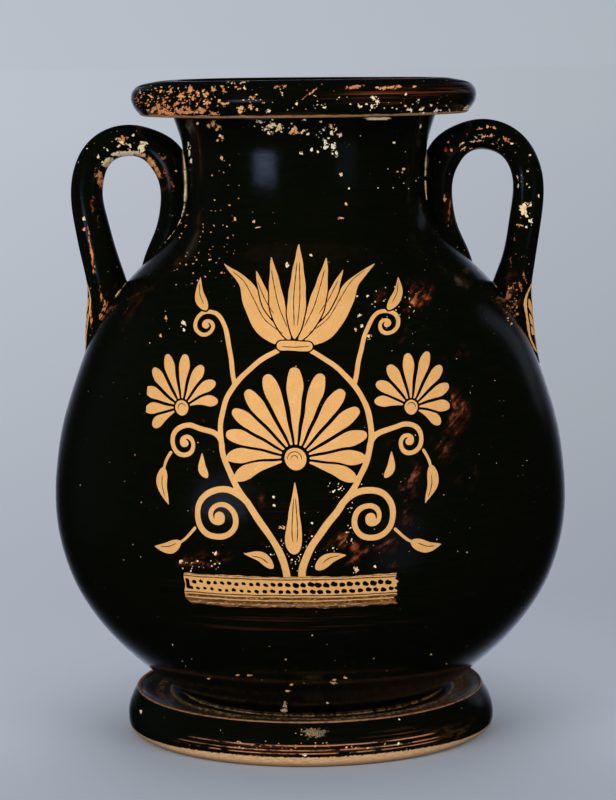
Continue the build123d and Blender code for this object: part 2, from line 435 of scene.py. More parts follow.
def crossing_curves(D):
    """Zero curves of a field on a grid that wraps in its second index, as grid positions."""
    rows, cols = D.shape
    links = {}

    def edge(j, i, dj, di):
        a, b = D[j, i % cols], D[j + dj, (i + di) % cols]
        return (j, i % cols, dj), a / (a - b)
    share = {}
    sign = D > 0
    mixed = np.argwhere((sign[:-1] != sign[1:]) | (sign[:-1] != np.roll(sign, -1, 1)[:-1])
                        | (sign[:-1] != np.roll(sign, -1, 1)[1:]))
    for j, i in mixed:
        i1 = (i + 1) % cols
        keys = []
        for (ja, ia, jb, ib, key) in ((j, i, j, i1, ("h", j, i)), (j, i1, j + 1, i1, ("v", j, i1)),
                                      (j + 1, i, j + 1, i1, ("h", j + 1, i)), (j, i, j + 1, i, ("v", j, i))):
            a, b = D[ja, ia], D[jb, ib]
            if (a > 0) != (b > 0):
                t = a / (a - b)
                share[key] = (j + 0.0, i + t) if key[0] == "h" else (key[1] + t, key[2] + 0.0)
                if key[0] == "h":
                    share[key] = (key[1] + 0.0, key[2] + t)
                keys.append(key)
        for p, q in zip(keys[::2], keys[1::2]):
            links.setdefault(p, []).append(q)
            links.setdefault(q, []).append(p)
    curves, left = [], set(links)
    while left:
        start = next(iter(left))
        ends = [k for k in left if len(links[k]) == 1]
        if ends:
            start = ends[0]
        path, cur, prev = [start], start, None
        left.discard(start)
        while True:
            nxt = [k for k in links[cur] if k in left]
            if not nxt:
                break
            cur = nxt[0]
            left.discard(cur)
            path.append(cur)
        curves.append(np.array([share[k] for k in path]))
    return sorted(curves, key=len, reverse=True)


def on_grid(G, q):
    rows, cols, _ = G.shape
    j = np.clip(np.floor(q[:, 0]).astype(int), 0, rows - 2)
    i = np.floor(q[:, 1]).astype(int) % cols
    fj, fi = (q[:, 0] - j)[:, None], (q[:, 1] - np.floor(q[:, 1]))[:, None]
    i1 = (i + 1) % cols
    return (G[j, i] * (1 - fi) + G[j, i1] * fi) * (1 - fj) + (G[j + 1, i] * (1 - fi) + G[j + 1, i1] * fi) * fj


def luting_strip(name, G, curve, seed, width=1.0):
    """Slurry smeared in the angle between a handle root and the wall."""
    rng = np.random.default_rng(seed)
    closed = np.linalg.norm(on_grid(G, curve[:1]) - on_grid(G, curve[-1:])) < 2.5
    P = on_grid(G, curve)
    P = np.vstack([P, P[:1]]) if closed else P
    a = arc(P)
    n = int(a[-1] / 0.45)
    x = np.linspace(0, a[-1], n + 1)
    P = np.c_[[np.interp(x, a, P[:, k]) for k in range(3)]].T
    if closed:
        P = P[:-1]
        for _ in range(3):
            P = 0.5 * P + 0.25 * (np.roll(P, 1, 0) + np.roll(P, -1, 0))
    n = len(P)
    _, nj = wall_distance(P)
    tan = unit(np.roll(P, -1, 0) - np.roll(P, 1, 0))
    axis_c = handle_axis_near(G, P)
    out = P - axis_c
    out -= (out * tan).sum(1)[:, None] * tan
    nh = unit(out)
    away = unit(nh - (nh * nj).sum(1)[:, None] * nj)
    along = unit(nj - (nj * nh).sum(1)[:, None] * nh)
    ph = np.linspace(0, 2 * np.pi, n, endpoint=False)
    m = sum(rng.uniform(0.3, 1.0) / k ** 0.5 * np.cos(k * ph + rng.uniform(0, 6.28))
            for k in (2, 3, 5, 8, 13, 21, 34, 47))
    # broad where the ridge was left proud high on the front of the neck, a thread elsewhere
    broad = smoothstep(*((226.0, 243.0) if width > 1 else (214.0, 236.0)), P[:, 2]) * smoothstep(6.0, -1.0, P[:, 1])
    w = (0.36 + 0.90 * width * broad) * np.clip(1 + 0.42 * m, 0.35, 2.2)
    w = w[:, None]
    rows = []
    for s in (-0.35, 0.0, 0.25, 0.5, 0.75, 1.0, 1.35):
        s0 = min(max(s, 0), 1)
        base = P + away * w * (1 - s0) ** 2 * 1.15 + along * w * s0 ** 2 * 1.0
        sink = 0.10 if s in (0.0, 1.0) else 0.0
        if s < 0:
            base = P + away * w * 1.05 - nj * 0.5
        elif s > 1:
            base = P + along * w * 0.9 - nh * 0.5
        rows.append(base - (nj + nh) * sink * 0.5)
    rows.append(P - nj * 0.9 - nh * 0.9)
    V = np.stack(rows, 0)
    k = len(rows)
    V = V.reshape(-1, 3)
    F = []
    for j in range(k):
        for i in range(n if closed else n - 1):
            i1 = (i + 1) % n
            F.append([j * n + i, j * n + i1, ((j + 1) % k) * n + i1, ((j + 1) % k) * n + i])
    ob = make_mesh(name, V, F)
    bm_fix(ob)
    return ob


def bm_fix(ob):
    import bmesh
    bm = bmesh.new()
    bm.from_mesh(ob.data)
    bmesh.ops.recalc_face_normals(bm, faces=bm.faces)
    bm.to_mesh(ob.data)
    bm.free()
    ob.data.polygons.foreach_set("use_smooth", np.full(len(ob.data.polygons), True))


def handle_axis_near(G, P):
    C = G.mean(1)
    d = ((P[:, None, :] - C[None]) ** 2).sum(-1)
    return C[d.argmin(1)]


handles = {}
for side, word, stations in ((-1, "left", HANDLE_L), (1, "right", HANDLE_R)):
    ob, G, D = handle_mesh("handle_%s_clay" % word, stations, side)
    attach(ob, "root")
    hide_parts("handle_" + word)
    handles[word] = ob
    curves = [c for c in crossing_curves(D) if len(c) > 12]
    print("seams", word, [(len(c), on_grid(G, c)[:, 2].mean().round(1)) for c in curves])
    for c in curves[:2]:
        where = "neck" if on_grid(G, c)[:, 2].mean() > 203 else "shoulder"
        nm = "luting_%s_%s" % (where, word)
        if nm + "_clay" in bpy.data.objects:
            continue
        lu = luting_strip(nm + "_clay", G, c, 5 + side + (7 if where == "neck" else 0),
                          1.55 if side > 0 else 1.0)
        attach(lu, "root")
        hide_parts(nm)
        handles[where + word] = lu



# ------------------------------------------------------------------ rays
def soup(obs):
    V, F, k = [], [], 0
    for ob in obs:
        co = coords(ob)
        V.append(co)
        F += [[k + i for i in p.vertices] for p in ob.data.polygons]
        k += len(co)
    return BVHTree.FromPolygons(np.vstack(V).tolist(), F)


front_tree = soup([jar, lip, foot, fillet, handles["left"], handles["right"]])


def pixel_ray(x, y):
    """Origin (mm) and direction of the view ray through a point of the 616 x 800 frame."""
    dx, dy = x - 308.0, y - 400.0
    s, c = math.sin(CAM_ROLL), math.cos(CAM_ROLL)
    u, v = c * dx + s * dy, -s * dx + c * dy
    cp, sp = math.cos(CAM_PITCH), math.sin(CAM_PITCH)
    d = np.array([u, -v * sp + 2764.0 * cp, -v * cp - 2764.0 * sp])
    return Vector((CAM_X, -CAM_D, CAM_H)), Vector(d / np.linalg.norm(d))


def at_pixel(x, y):
    o, d = pixel_ray(x, y)
    hit, n, i, _ = front_tree.ray_cast(o, d)
    return (None, None) if hit is None else (np.array(hit), np.array(n))


# ------------------------------------------------------------------ flat drawing
def bez(p0, p1, p2, p3, n=24):
    t = np.linspace(0, 1, n)[:, None]
    p0, p1, p2, p3 = map(np.array, (p0, p1, p2, p3))
    return (1 - t) ** 3 * p0 + 3 * (1 - t) ** 2 * t * p1 + 3 * (1 - t) * t * t * p2 + t ** 3 * p3


def smooth(pts, n):
    P = np.array(pts, float)
    P = np.vstack([2 * P[0] - P[1], P, 2 * P[-1] - P[-2]])
    out, k = [], len(P) - 3
    for i in range(k):
        m = max(2, int(round(n / k)))
        t = np.linspace(0, 1, m, endpoint=(i == k - 1))[:, None]
        a, b, c, d = P[i:i + 4]
        out.append(0.5 * ((2 * b) + (-a + c) * t + (2 * a - 5 * b + 4 * c - d) * t * t
                          + (-a + 3 * b - 3 * c + d) * t ** 3))
    return np.vstack(out)


def winding(centre, r0, r1, a0, turns, n=90):
    t = np.linspace(0, 1, n)
    r = r0 + (r1 - r0) * t ** 0.85
    a = a0 + 2 * math.pi * turns * t
    return np.c_[centre[0] + r * np.cos(a), centre[1] + r * np.sin(a)]


def petal(base, angle, length, width, curl=0.0, n=22, neck=0.16, tip=0.78):
    t = np.linspace(0, 1, n)
    a = angle + curl * t * t
    ds = length / (n - 1)
    x = base[0] + np.concatenate([[0], np.cumsum(np.cos((a[1:] + a[:-1]) / 2) * ds)])
    y = base[1] + np.concatenate([[0], np.cumsum(np.sin((a[1:] + a[:-1]) / 2) * ds)])
    prof = neck + (1 - neck) * np.clip(t / tip, 0, 1) ** 1.15
    over = np.clip((t - tip) / (1 - tip), 0, 1)
    rad = width / 2 * prof * np.sqrt(np.clip(1 - 0.55 * over ** 2, 0, 1))
    k = (length - rad[-1]) / length
    return np.c_[base[0] + (x - base[0]) * k, base[1] + (y - base[1]) * k], rad


def leaf(path, width, p=1.0, ends=0.05):
    path = np.array(path)
    t = np.linspace(0, 1, len(path))
    return path, np.maximum(width / 2 * np.sin(math.pi * t ** p) ** 0.9, ends)


def tendril(path, w0, w1):
    return path, np.linspace(w0 / 2, w1 / 2, len(path))


def dot(c, r):
    return np.array([[c[0], c[1]], [c[0] + 0.01, c[1]]]), np.array([r, r])


def flip(st):
    return st[0] * np.array([-1, 1.0]), st[1]


def stroke_field(strokes, S, V, warp=True):
    """Signed distance on the grid from a set of strokes, negative inside."""
    D = np.full((len(V), len(S)), 99.0)
    X0, Y0 = np.meshgrid(S, V)
    if warp:          # the unevenness of a hand-held brush
        X0, Y0 = (X0 + 0.34 * np.sin(0.083 * Y0 + 0.9) + 0.26 * np.sin(0.16 * X0 - 0.06 * Y0 + 2.1)
                  + 0.10 * np.sin(0.55 * Y0 + 0.2 * X0),
                  Y0 + 0.30 * np.sin(0.071 * X0 + 0.4) + 0.24 * np.sin(0.13 * Y0 + 0.11 * X0)
                  + 0.10 * np.sin(0.6 * X0 - 0.15 * Y0 + 1.0))
    hs, hv = S[1] - S[0], V[1] - V[0]
    for pts, rad in strokes:
        for a, b, ra, rb in zip(pts[:-1], pts[1:], rad[:-1], rad[1:]):
            m = max(ra, rb) + 3.2
            i0 = max(0, int((min(a[0], b[0]) - m - S[0]) / hs))
            i1 = min(len(S), int((max(a[0], b[0]) + m - S[0]) / hs) + 2)
            j0 = max(0, int((min(a[1], b[1]) - m - V[0]) / hv))
            j1 = min(len(V), int((max(a[1], b[1]) + m - V[0]) / hv) + 2)
            if i0 >= i1 or j0 >= j1:
                continue
            X, Y = X0[j0:j1, i0:i1] - a[0], Y0[j0:j1, i0:i1] - a[1]
            dx, dy = b[0] - a[0], b[1] - a[1]
            t = np.clip((X * dx + Y * dy) / max(dx * dx + dy * dy, 1e-9), 0, 1)
            d = np.hypot(X - t * dx, Y - t * dy) - (ra + t * (rb - ra))
            D[j0:j1, i0:i1] = np.minimum(D[j0:j1, i0:i1], d)
    return D


def palmette(c, direction, n, length, width, spread, rng, curl=0.25, heart=3.0, grow=0.30):
    pos = []
    for i in range(n):
        f = (i - (n - 1) / 2) / ((n - 1) / 2)
        ang = direction + f * spread
        L = length * (1 - grow * abs(f) ** 1.3) * (1 + 0.015 * rng.standard_normal())
        base = (c[0] + math.cos(ang) * heart * 1.12, c[1] + math.sin(ang) * heart * 1.12)
        cu = curl * f * (0.25 + abs(f)) + 0.02 * rng.standard_normal()
        pos.append(petal(base, ang, L - heart, width * (1 - 0.12 * abs(f)), cu))
    pos.append(dot(c, heart * 0.80))
    a = np.linspace(direction - 1.7, direction + 1.7, 24)
    return pos, [np.c_[c[0] + np.cos(a) * heart * k, c[1] + np.sin(a) * heart * k] for k in (0.50, 0.24)]


def ornament():
    """Layers of strokes, each with the black gap it keeps from what lies under it, and lines."""
    rng = np.random.default_rng(7)
    layers, lines = [], []

    def both(*sts):
        return [x for st in sts for x in (st, flip(st))]

    def pair(line):
        lines.extend([line, line * np.array([-1, 1.0])])

    low = []
    C = (30.0, 22.5)
    e = (C[0] - 11.0, C[1] + 6.6)
    path = np.vstack([bez((3.0, -0.5), (3.2, 11), (e[0] - 5.6, e[1] - 9.6), e, 40),
                      winding(C, math.hypot(11.0, 6.6), 1.3, math.atan2(6.6, -11.0), -1.86, 130)[1:]])
    low += both(tendril(path, 2.9, 1.7), dot(C, 2.2))
    arch = smooth([(17.6, 27.0), (24.6, 37.6), (29.4, 49.5), (29.8, 62), (25.3, 74), (15.8, 84), (3.5, 92)], 90)
    low += both(tendril(arch, 2.4, 2.0))
    low.append(leaf(smooth([(0, 9.5), (0, 18), (0, 37.5)], 26), 6.8, 0.72))
    # side tendrils and the palmettes that they carry
    C2 = (46.0, 51.5)
    a2 = math.radians(112)
    e2 = (C2[0] + 7.6 * math.cos(a2), C2[1] + 7.6 * math.sin(a2))
    path = np.vstack([bez((29.4, 50.5), (30.6, 57.5), (e2[0] - 6.5 * 0.93, e2[1] - 6.5 * 0.37), e2, 26),
                      winding(C2, 7.6, 0.9, a2, -1.48, 90)[1:]])
    low += both(tendril(path, 2.2, 1.5), dot(C2, 1.45))
    # upper tendrils beside the flower
    C3 = (37.5, 100.5)
    a3 = math.radians(125)
    e3 = (C3[0] + 6.8 * math.cos(a3), C3[1] + 6.8 * math.sin(a3))
    path = np.vstack([bez((24.2, 76.0), (26.5, 88.0), (e3[0] - 7 * 0.82, e3[1] - 7 * 0.57), e3, 26),
                      winding(C3, 6.8, 0.8, a3, -1.42, 80)[1:]])
    low += both(tendril(path, 2.0, 1.4), dot(C3, 1.3))
    # buds on short stalks
    low += both(tendril(bez((40.6, 17.5), (44.5, 13.5), (47, 12), (49, 11.5), 12), 1.3, 1.0),
                leaf(smooth([(47.5, 12.0), (53.5, 9.2), (60.5, 9.6)], 22), 5.0, 0.75),
                tendril(bez((52.6, 47.5), (55.0, 44), (55.8, 41.5), (56.0, 39.5), 12), 1.3, 1.0),
                leaf(smooth([(56.0, 41.0), (56.6, 34.0), (53.4, 26.5)], 22), 5.0, 0.75),
                leaf(smooth([(8.6, 3.0), (13.5, 7.2), (20.5, 8.2)], 22), 4.6, 0.7),
                leaf(smooth([(35.6, 38.2), (38.2, 42.0), (38.4, 48.0)], 18), 3.6, 0.8))
    layers.append((low, 0.0))
    p, ln = palmette((0, 46.5), math.pi / 2, 13, 36.0, 6.5, 1.80, rng, curl=0.30, heart=5.6, grow=0.31)
    lines += ln
    layers.append((p, 0.0))
    for sg in (1, -1):
        p, ln = palmette((sg * 47.5, 65.5), math.pi / 2 - sg * 0.36, 9, 22.5, 5.2, 1.62, rng,
                         curl=0.32, heart=3.7, grow=0.30)
        lines += ln[:1]
        layers.append((p, 0.9))
    # buds rising from the upper tendrils
    layers.append((both(leaf(smooth([(38.0, 107.6), (42.2, 114.5), (43.0, 124.0)], 22), 5.0, 0.7)), 0.8))
    # the flower: sepals, petals, and the middle petal over them
    z = 91.0
    layers.append((both(leaf(smooth([(1.6, z + 1), (11.2, z + 8), (17.6, z + 19), (22.4, z + 31),
                                     (32.0, z + 41)], 44), 8.8, 0.78)), 0.0))
    layers.append((both(leaf(smooth([(5.6, z + 9), (12.6, z + 22), (18.0, z + 38)], 26), 4.4, 0.85)), 0.55))
    layers.append((both(leaf(smooth([(1.6, z + 3), (6.6, z + 15), (9.4, z + 29), (11.6, z + 45)], 34), 6.4, 0.85)), 0.55))
    layers.append(([leaf(smooth([(0, z + 4), (0, z + 24), (0, z + 52)], 34), 7.4, 0.85)], 0.55))
    layers.append(([(np.array([[-4.9, z + 1.2], [4.9, z + 1.2]]), np.array([2.1, 2.1]))], 0.6))
    # relief lines
    pair(smooth([(5.0, z + 6.5), (12.6, z + 13), (17.2, z + 22), (22.0, z + 31.5), (27.5, z + 37)], 30))
    pair(smooth([(9.0, z + 15.5), (13.0, z + 23), (16.4, z + 32)], 16))
    pair(smooth([(3.4, z + 9.5), (7.0, z + 19), (9.4, z + 30), (10.8, z + 38)], 22))
    for k in (-0.55, 0.55):
        lines.append(smooth([(k * 1.2, z + 10), (k * 2.2, z + 24), (k * 0.9, z + 42)], 20))
        lines.append(smooth([(k * 1.5, 13.5), (k * 2.0, 19), (k * 0.7, 31)], 16))
    lines.append(np.array([[-5.8, z + 1.0], [0, z + 0.7], [5.8, z + 1.0]]))
    for sg in (1, -1):
        lines.append(smooth([(sg * 49.8, 11.2), (sg * 53.6, 9.6), (sg * 57.6, 9.3)], 12))
        lines.append(smooth([(sg * 56.2, 38.0), (sg * 56.2, 33.8), (sg * 54.6, 29.2)], 12))
        lines.append(smooth([(sg * 10.6, 4.8), (sg * 13.6, 7.0), (sg * 17.6, 7.9)], 12))
        lines.append(smooth([(sg * 39.6, 110.6), (sg * 42.0, 115.5), (sg * 42.8, 121.0)], 12))
    return layers, lines


def layered(layers, S, V):
    D = np.full((len(V), len(S)), 99.0)
    for strokes, gap in layers:
        d = stroke_field(strokes, S, V)
        if gap:
            D = np.maximum(D, gap - d)
        D = np.minimum(D, d)
    return D


def field_mesh(name, D, S, V, place, attrs=None, depth=0.30):
    """A thin sheet over the parts of a field below zero. place(sv, sink) gives points in mm."""
    D = np.where(np.abs(D) < 1e-4, 1e-4, D)
    D[0], D[-1], D[:, 0], D[:, -1] = 9, 9, 9, 9
    ins = D < 0
    rows, cols = D.shape
    idx = -np.ones(D.shape, int)
    jj, ii = np.nonzero(ins)
    idx[jj, ii] = np.arange(len(jj))
    sv = [np.c_[S[ii], V[jj]]]
    cell = ins[:-1, :-1].astype(int) + ins[:-1, 1:] + ins[1:, 1:] + ins[1:, :-1]
    fj, fi = np.nonzero(cell == 4)
    faces = np.stack([idx[fj, fi], idx[fj, fi + 1], idx[fj + 1, fi + 1], idx[fj + 1, fi]], -1).tolist()
    extra, made, rim = [], {}, []

    def cross(a, b):
        key = (a, b) if a < b else (b, a)
        if key not in made:
            da, db = D[a], D[b]
            t = da / (da - db)
            t = min(max(t, 0.02), 0.98)
            made[key] = len(jj) + len(extra)
            extra.append((S[a[1]] + (S[b[1]] - S[a[1]]) * t, V[a[0]] + (V[b[0]] - V[a[0]]) * t))
        return made[key]

    for j, i in np.argwhere((cell > 0) & (cell < 4)):
        cs = [(j, i), (j, i + 1), (j + 1, i + 1), (j + 1, i)]
        poly, marks = [], []
        for k in range(4):
            a, b = cs[k], cs[(k + 1) % 4]
            if ins[a]:
                poly.append(int(idx[a]))
                marks.append(0)
            if ins[a] != ins[b]:
                poly.append(cross(a, b))
                marks.append(1 if ins[a] else 2)
        n = len(poly)
        if n == 6 and marks.count(0) == 2 and D[j:j + 2, i:i + 2].mean() > 0:
            k = marks.index(0)
            poly, marks = poly[k:] + poly[:k], marks[k:] + marks[:k]
            faces += [[poly[5], poly[0], poly[1]], [poly[2], poly[3], poly[4]]]
            rim += [(poly[1], poly[5]), (poly[4], poly[2])]
        else:
            faces.append(poly)
            for k in range(n):
                if marks[k] == 1 and marks[(k + 1) % n] == 2:
                    rim.append((poly[k], poly[(k + 1) % n]))
    if extra:
        sv.append(np.array(extra))
    sv = np.vstack(sv)
    top = place(sv, 0.0)
    low = place(sv, depth)
    n = len(sv)
    Vx = [top, low]
    F = faces + [[v + n for v in f[::-1]] for f in faces]
    used = sorted({v for e in rim for v in e})
    at = {v: 2 * n + k for k, v in enumerate(used)}
    m = len(used)
    Vx += [top[used], low[used]]
    F += [[at[b], at[a], at[a] + m, at[b] + m] for a, b in rim]
    Vx = np.vstack(Vx)
    ob = make_mesh(name, Vx, F)
    full = np.vstack([sv, sv, sv[used], sv[used]])
    add_attr(ob, "os", full[:, 0])
    add_attr(ob, "ov", full[:, 1])
    return ob


def ribbons(name, lines, place, width=0.40, height=0.10, seed=3):
    """Relief lines: raised threads of slip laid along flat paths."""
    rng = np.random.default_rng(seed)
    Vx, F, k = [], [], 0
    for ln in lines:
        a = arc(ln)
        n = max(3, int(a[-1] / 0.45))
        x = np.linspace(0, a[-1], n)
        P = np.c_[np.interp(x, a, ln[:, 0]), np.interp(x, a, ln[:, 1])]
        T = unit(np.gradient(P, axis=0))
        N = np.c_[-T[:, 1], T[:, 0]]
        t = np.linspace(0, 1, n)
        body = np.clip(np.minimum(t, 1 - t) * a[-1] / 1.2, 0.08, 1) ** 0.6
        w = width / 2 * body * (1 + 0.16 * np.sin(t * a[-1] * 1.3 + rng.uniform(0, 6)))
        for off, up in ((-1, -0.05), (-0.6, 0.75), (0, 1.0), (0.6, 0.75), (1, -0.05)):
            Vx.append(place(P + N * (w * off)[:, None], -height * body * up if up > 0 else 0.05))
        for r in range(4):
            for i in range(n - 1):
                F.append([k + r * n + i, k + r * n + i + 1, k + (r + 1) * n + i + 1, k + (r + 1) * n + i][::-1])
        for i in range(n - 1):
            F.append([k + 4 * n + i, k + 4 * n + i + 1, k + i + 1, k + i][::-1])
        k += 5 * n
    ob = make_mesh(name, np.vstack(Vx), F)
    bm_fix(ob)
    return ob


# ------------------------------------------------------------------ the ornament
THETA0 = math.radians(-3.2)
ARC0 = float(wall_arc_at_z(86.2))


def on_jar(sv, sink, theta0=THETA0, arc0=ARC0, lift=0.055):
    a = arc0 + sv[:, 1]
    r = np.interp(a, WA, WT[:, 0])
    p, n = wall_point(theta0 + sv[:, 0] / r, a, 0.0)
    return p + n * (lift - np.asarray(sink, float).reshape(-1, 1) * np.ones((len(p), 1)))


GS, GV = np.arange(-66.0, 66.01, 0.38), np.arange(-1.6, 146.0, 0.38)
orn_layers, orn_lines = ornament()
ORN = layered(orn_layers, GS, GV)
orn = field_mesh("ornament_front", ORN, GS, GV, on_jar)
orn_ink = ribbons("ornament_relief_lines", orn_lines, on_jar)

# the dotted ground band under it
BAND_T0 = math.radians(-4.6)


def on_band(sv, sink):
    return on_jar(sv, sink, BAND_T0, float(wall_arc_at_z(72.0)), 0.055)


bs, bv = np.arange(-47.5, 48.0, 0.22), np.arange(-1.2, 16.0, 0.22)
BX, BY = np.meshgrid(bs, bv)
left = -44.0 + 0.30 * np.sin(BY * 0.9) + 3.5 * np.clip((3.0 - BY) / 3.0, 0, 1) ** 1.6
right = 43.0 + 0.5 * np.sin(BY * 1.35 + 0.5) + 0.4 * np.sin(BY * 3.1) + 0.06 * (BY - 7.0)
topl = 14.0 + 0.16 * np.sin(BX * 0.21) + 0.10 * np.sin(BX * 0.9 + 1)
botl = 0.35 + 0.25 * np.sin(BX * 0.17 + 2) + 0.16 * np.sin(BX * 0.8)
BAND = np.maximum.reduce([left - BX, BX - right, BY - topl, botl - BY])
rng = np.random.default_rng(21)
dots = []
for row, (v0, step, big) in enumerate(((10.5, 3.02, 1.15), (7.55, 3.12, 1.07))):
    x = -42.6 + 1.7 * row
    while x < 41.2:
        s = big * (0.76 + 0.26 * float(smoothstep(-20, 6, x))) * rng.uniform(0.90, 1.10)
        tilt = rng.uniform(0.05, 0.50)
        L = 0.30 * s
        y = v0 + rng.uniform(-0.25, 0.25)
        P = np.array([[x - L * math.cos(tilt), y + L * math.sin(tilt)], [x + L * math.cos(tilt), y - L * math.sin(tilt)]])
        dots.append((P, np.array([0.84 * s, 0.78 * s * rng.uniform(0.85, 1.05)])))
        x += step * rng.uniform(0.94, 1.08)
# the first dots, run together by the brush
dots.append((np.array([[-42.7, 10.9], [-42.3, 7.9]]), np.array([0.75, 0.95])))
DOTS = stroke_field(dots, bs, bv, warp=False) + 0.10 * np.sin(BX * 2.1 + BY) * np.sin(BY * 2.7 - 0.7 * BX)
band = field_mesh("ground_band", np.maximum(BAND, 0.02 - DOTS), bs, bv, on_band)


# ------------------------------------------------------------------ palmettes at the handle roots
def root_palmette(side):
    word = "left" if side < 0 else "right"
    tree = soup([jar, handles[word]])
    zc, hy, hz = (176.4, 11.6, 14.9) if side > 0 else (178.6, 10.4, 17.4)
    S, V = np.arange(-12.6, 12.61, 0.22), np.arange(-19.6, 19.61, 0.22)
    X, Y = np.meshgrid(S, V)
    wy = hy * (1.0 - 0.14 * Y / hz) if side > 0 else hy + 0.0 * Y      # the right one is egg-shaped
    q = np.sqrt((X / wy) ** 2 + (Y / hz) ** 2 + 1e-9)
    g = np.hypot(X / wy ** 2, Y / hz ** 2) / q + 1e-9
    rim = np.abs((q - 1) / g) - 0.58
    pts, _ = palmette((0, -8.8), math.pi / 2, 7, 22.0, 4.3, 1.12, np.random.default_rng(4), curl=0.18,
                      heart=3.0, grow=0.40)
    pts = pts[:-1] + [petal((0.0, -9.4), -math.pi / 2 + k, 5.4, 2.6) for k in (-1.0, 1.0)]
    heart = [dot((0, -9.6), 2.3)]
    D = stroke_field(pts, S, V)
    D = np.maximum(D, 0.5 - stroke_field(heart, S, V))
    D = np.minimum(D, stroke_field(heart, S, V))
    D = np.maximum(D, q / g - 1 / g + 1.6)          # keep the petals inside the oval line
    D = np.minimum(D, rim + 0.10 * np.sin(Y * 0.7) + 0.05 * np.sin(Y * 2.3 + X))

    def place(sv, sink):
        out = np.empty((len(sv), 3))
        for k, (s, v) in enumerate(sv):
            y, z = (s if side > 0 else 3.2 - s), zc + v     # +s runs to the right as seen from outside
            hit, n, _, _ = tree.ray_cast(Vector((side * 150.0, y, z)), Vector((-side, 0, 0)))
            n = np.array(n)
            out[k] = np.array(hit) + n * (0.06 - float(np.asarray(sink).reshape(-1)[0]))
        return out
    return field_mesh("handle_palmette_" + word, D, S, V, place, depth=0.22)


pal_l, pal_r = root_palmette(-1), root_palmette(1)

for ob, slot in ((orn, "bare_clay"), (orn_ink, "black_gloss"), (band, "bare_clay"),
                 (pal_l, "bare_clay"), (pal_r, "bare_clay")):
    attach(ob, "root")


# ------------------------------------------------------------------ distance from the drawing
def field_at(D, S, V, s, v, far=30.0):
    i, j = (s - S[0]) / (S[1] - S[0]), (v - V[0]) / (V[1] - V[0])
    ok = (i > 0) & (i < len(S) - 1.001) & (j > 0) & (j < len(V) - 1.001)
    i0, j0 = np.clip(i.astype(int), 0, len(S) - 2), np.clip(j.astype(int), 0, len(V) - 2)
    fi, fj = i - i0, j - j0
    d = (D[j0, i0] * (1 - fi) + D[j0, i0 + 1] * fi) * (1 - fj) + (D[j0 + 1, i0] * (1 - fi) + D[j0 + 1, i0 + 1] * fi) * fj
    return np.where(ok, np.minimum(d, far), far)


def drawing_distance(P):
    """How far points on the jar lie from the reserved drawing, in mm."""
    th = np.arctan2(P[:, 0], -P[:, 1])
    a = wall_arc_at_z(P[:, 2])
    r = np.interp(a, WA, WT[:, 0])
    d1 = field_at(ORN, GS, GV, (th - THETA0) * r, a - ARC0)
    d2 = field_at(BAND, bs, bv, (th - BAND_T0) * r, a - float(wall_arc_at_z(72.0)))
    return np.minimum(d1, d2)


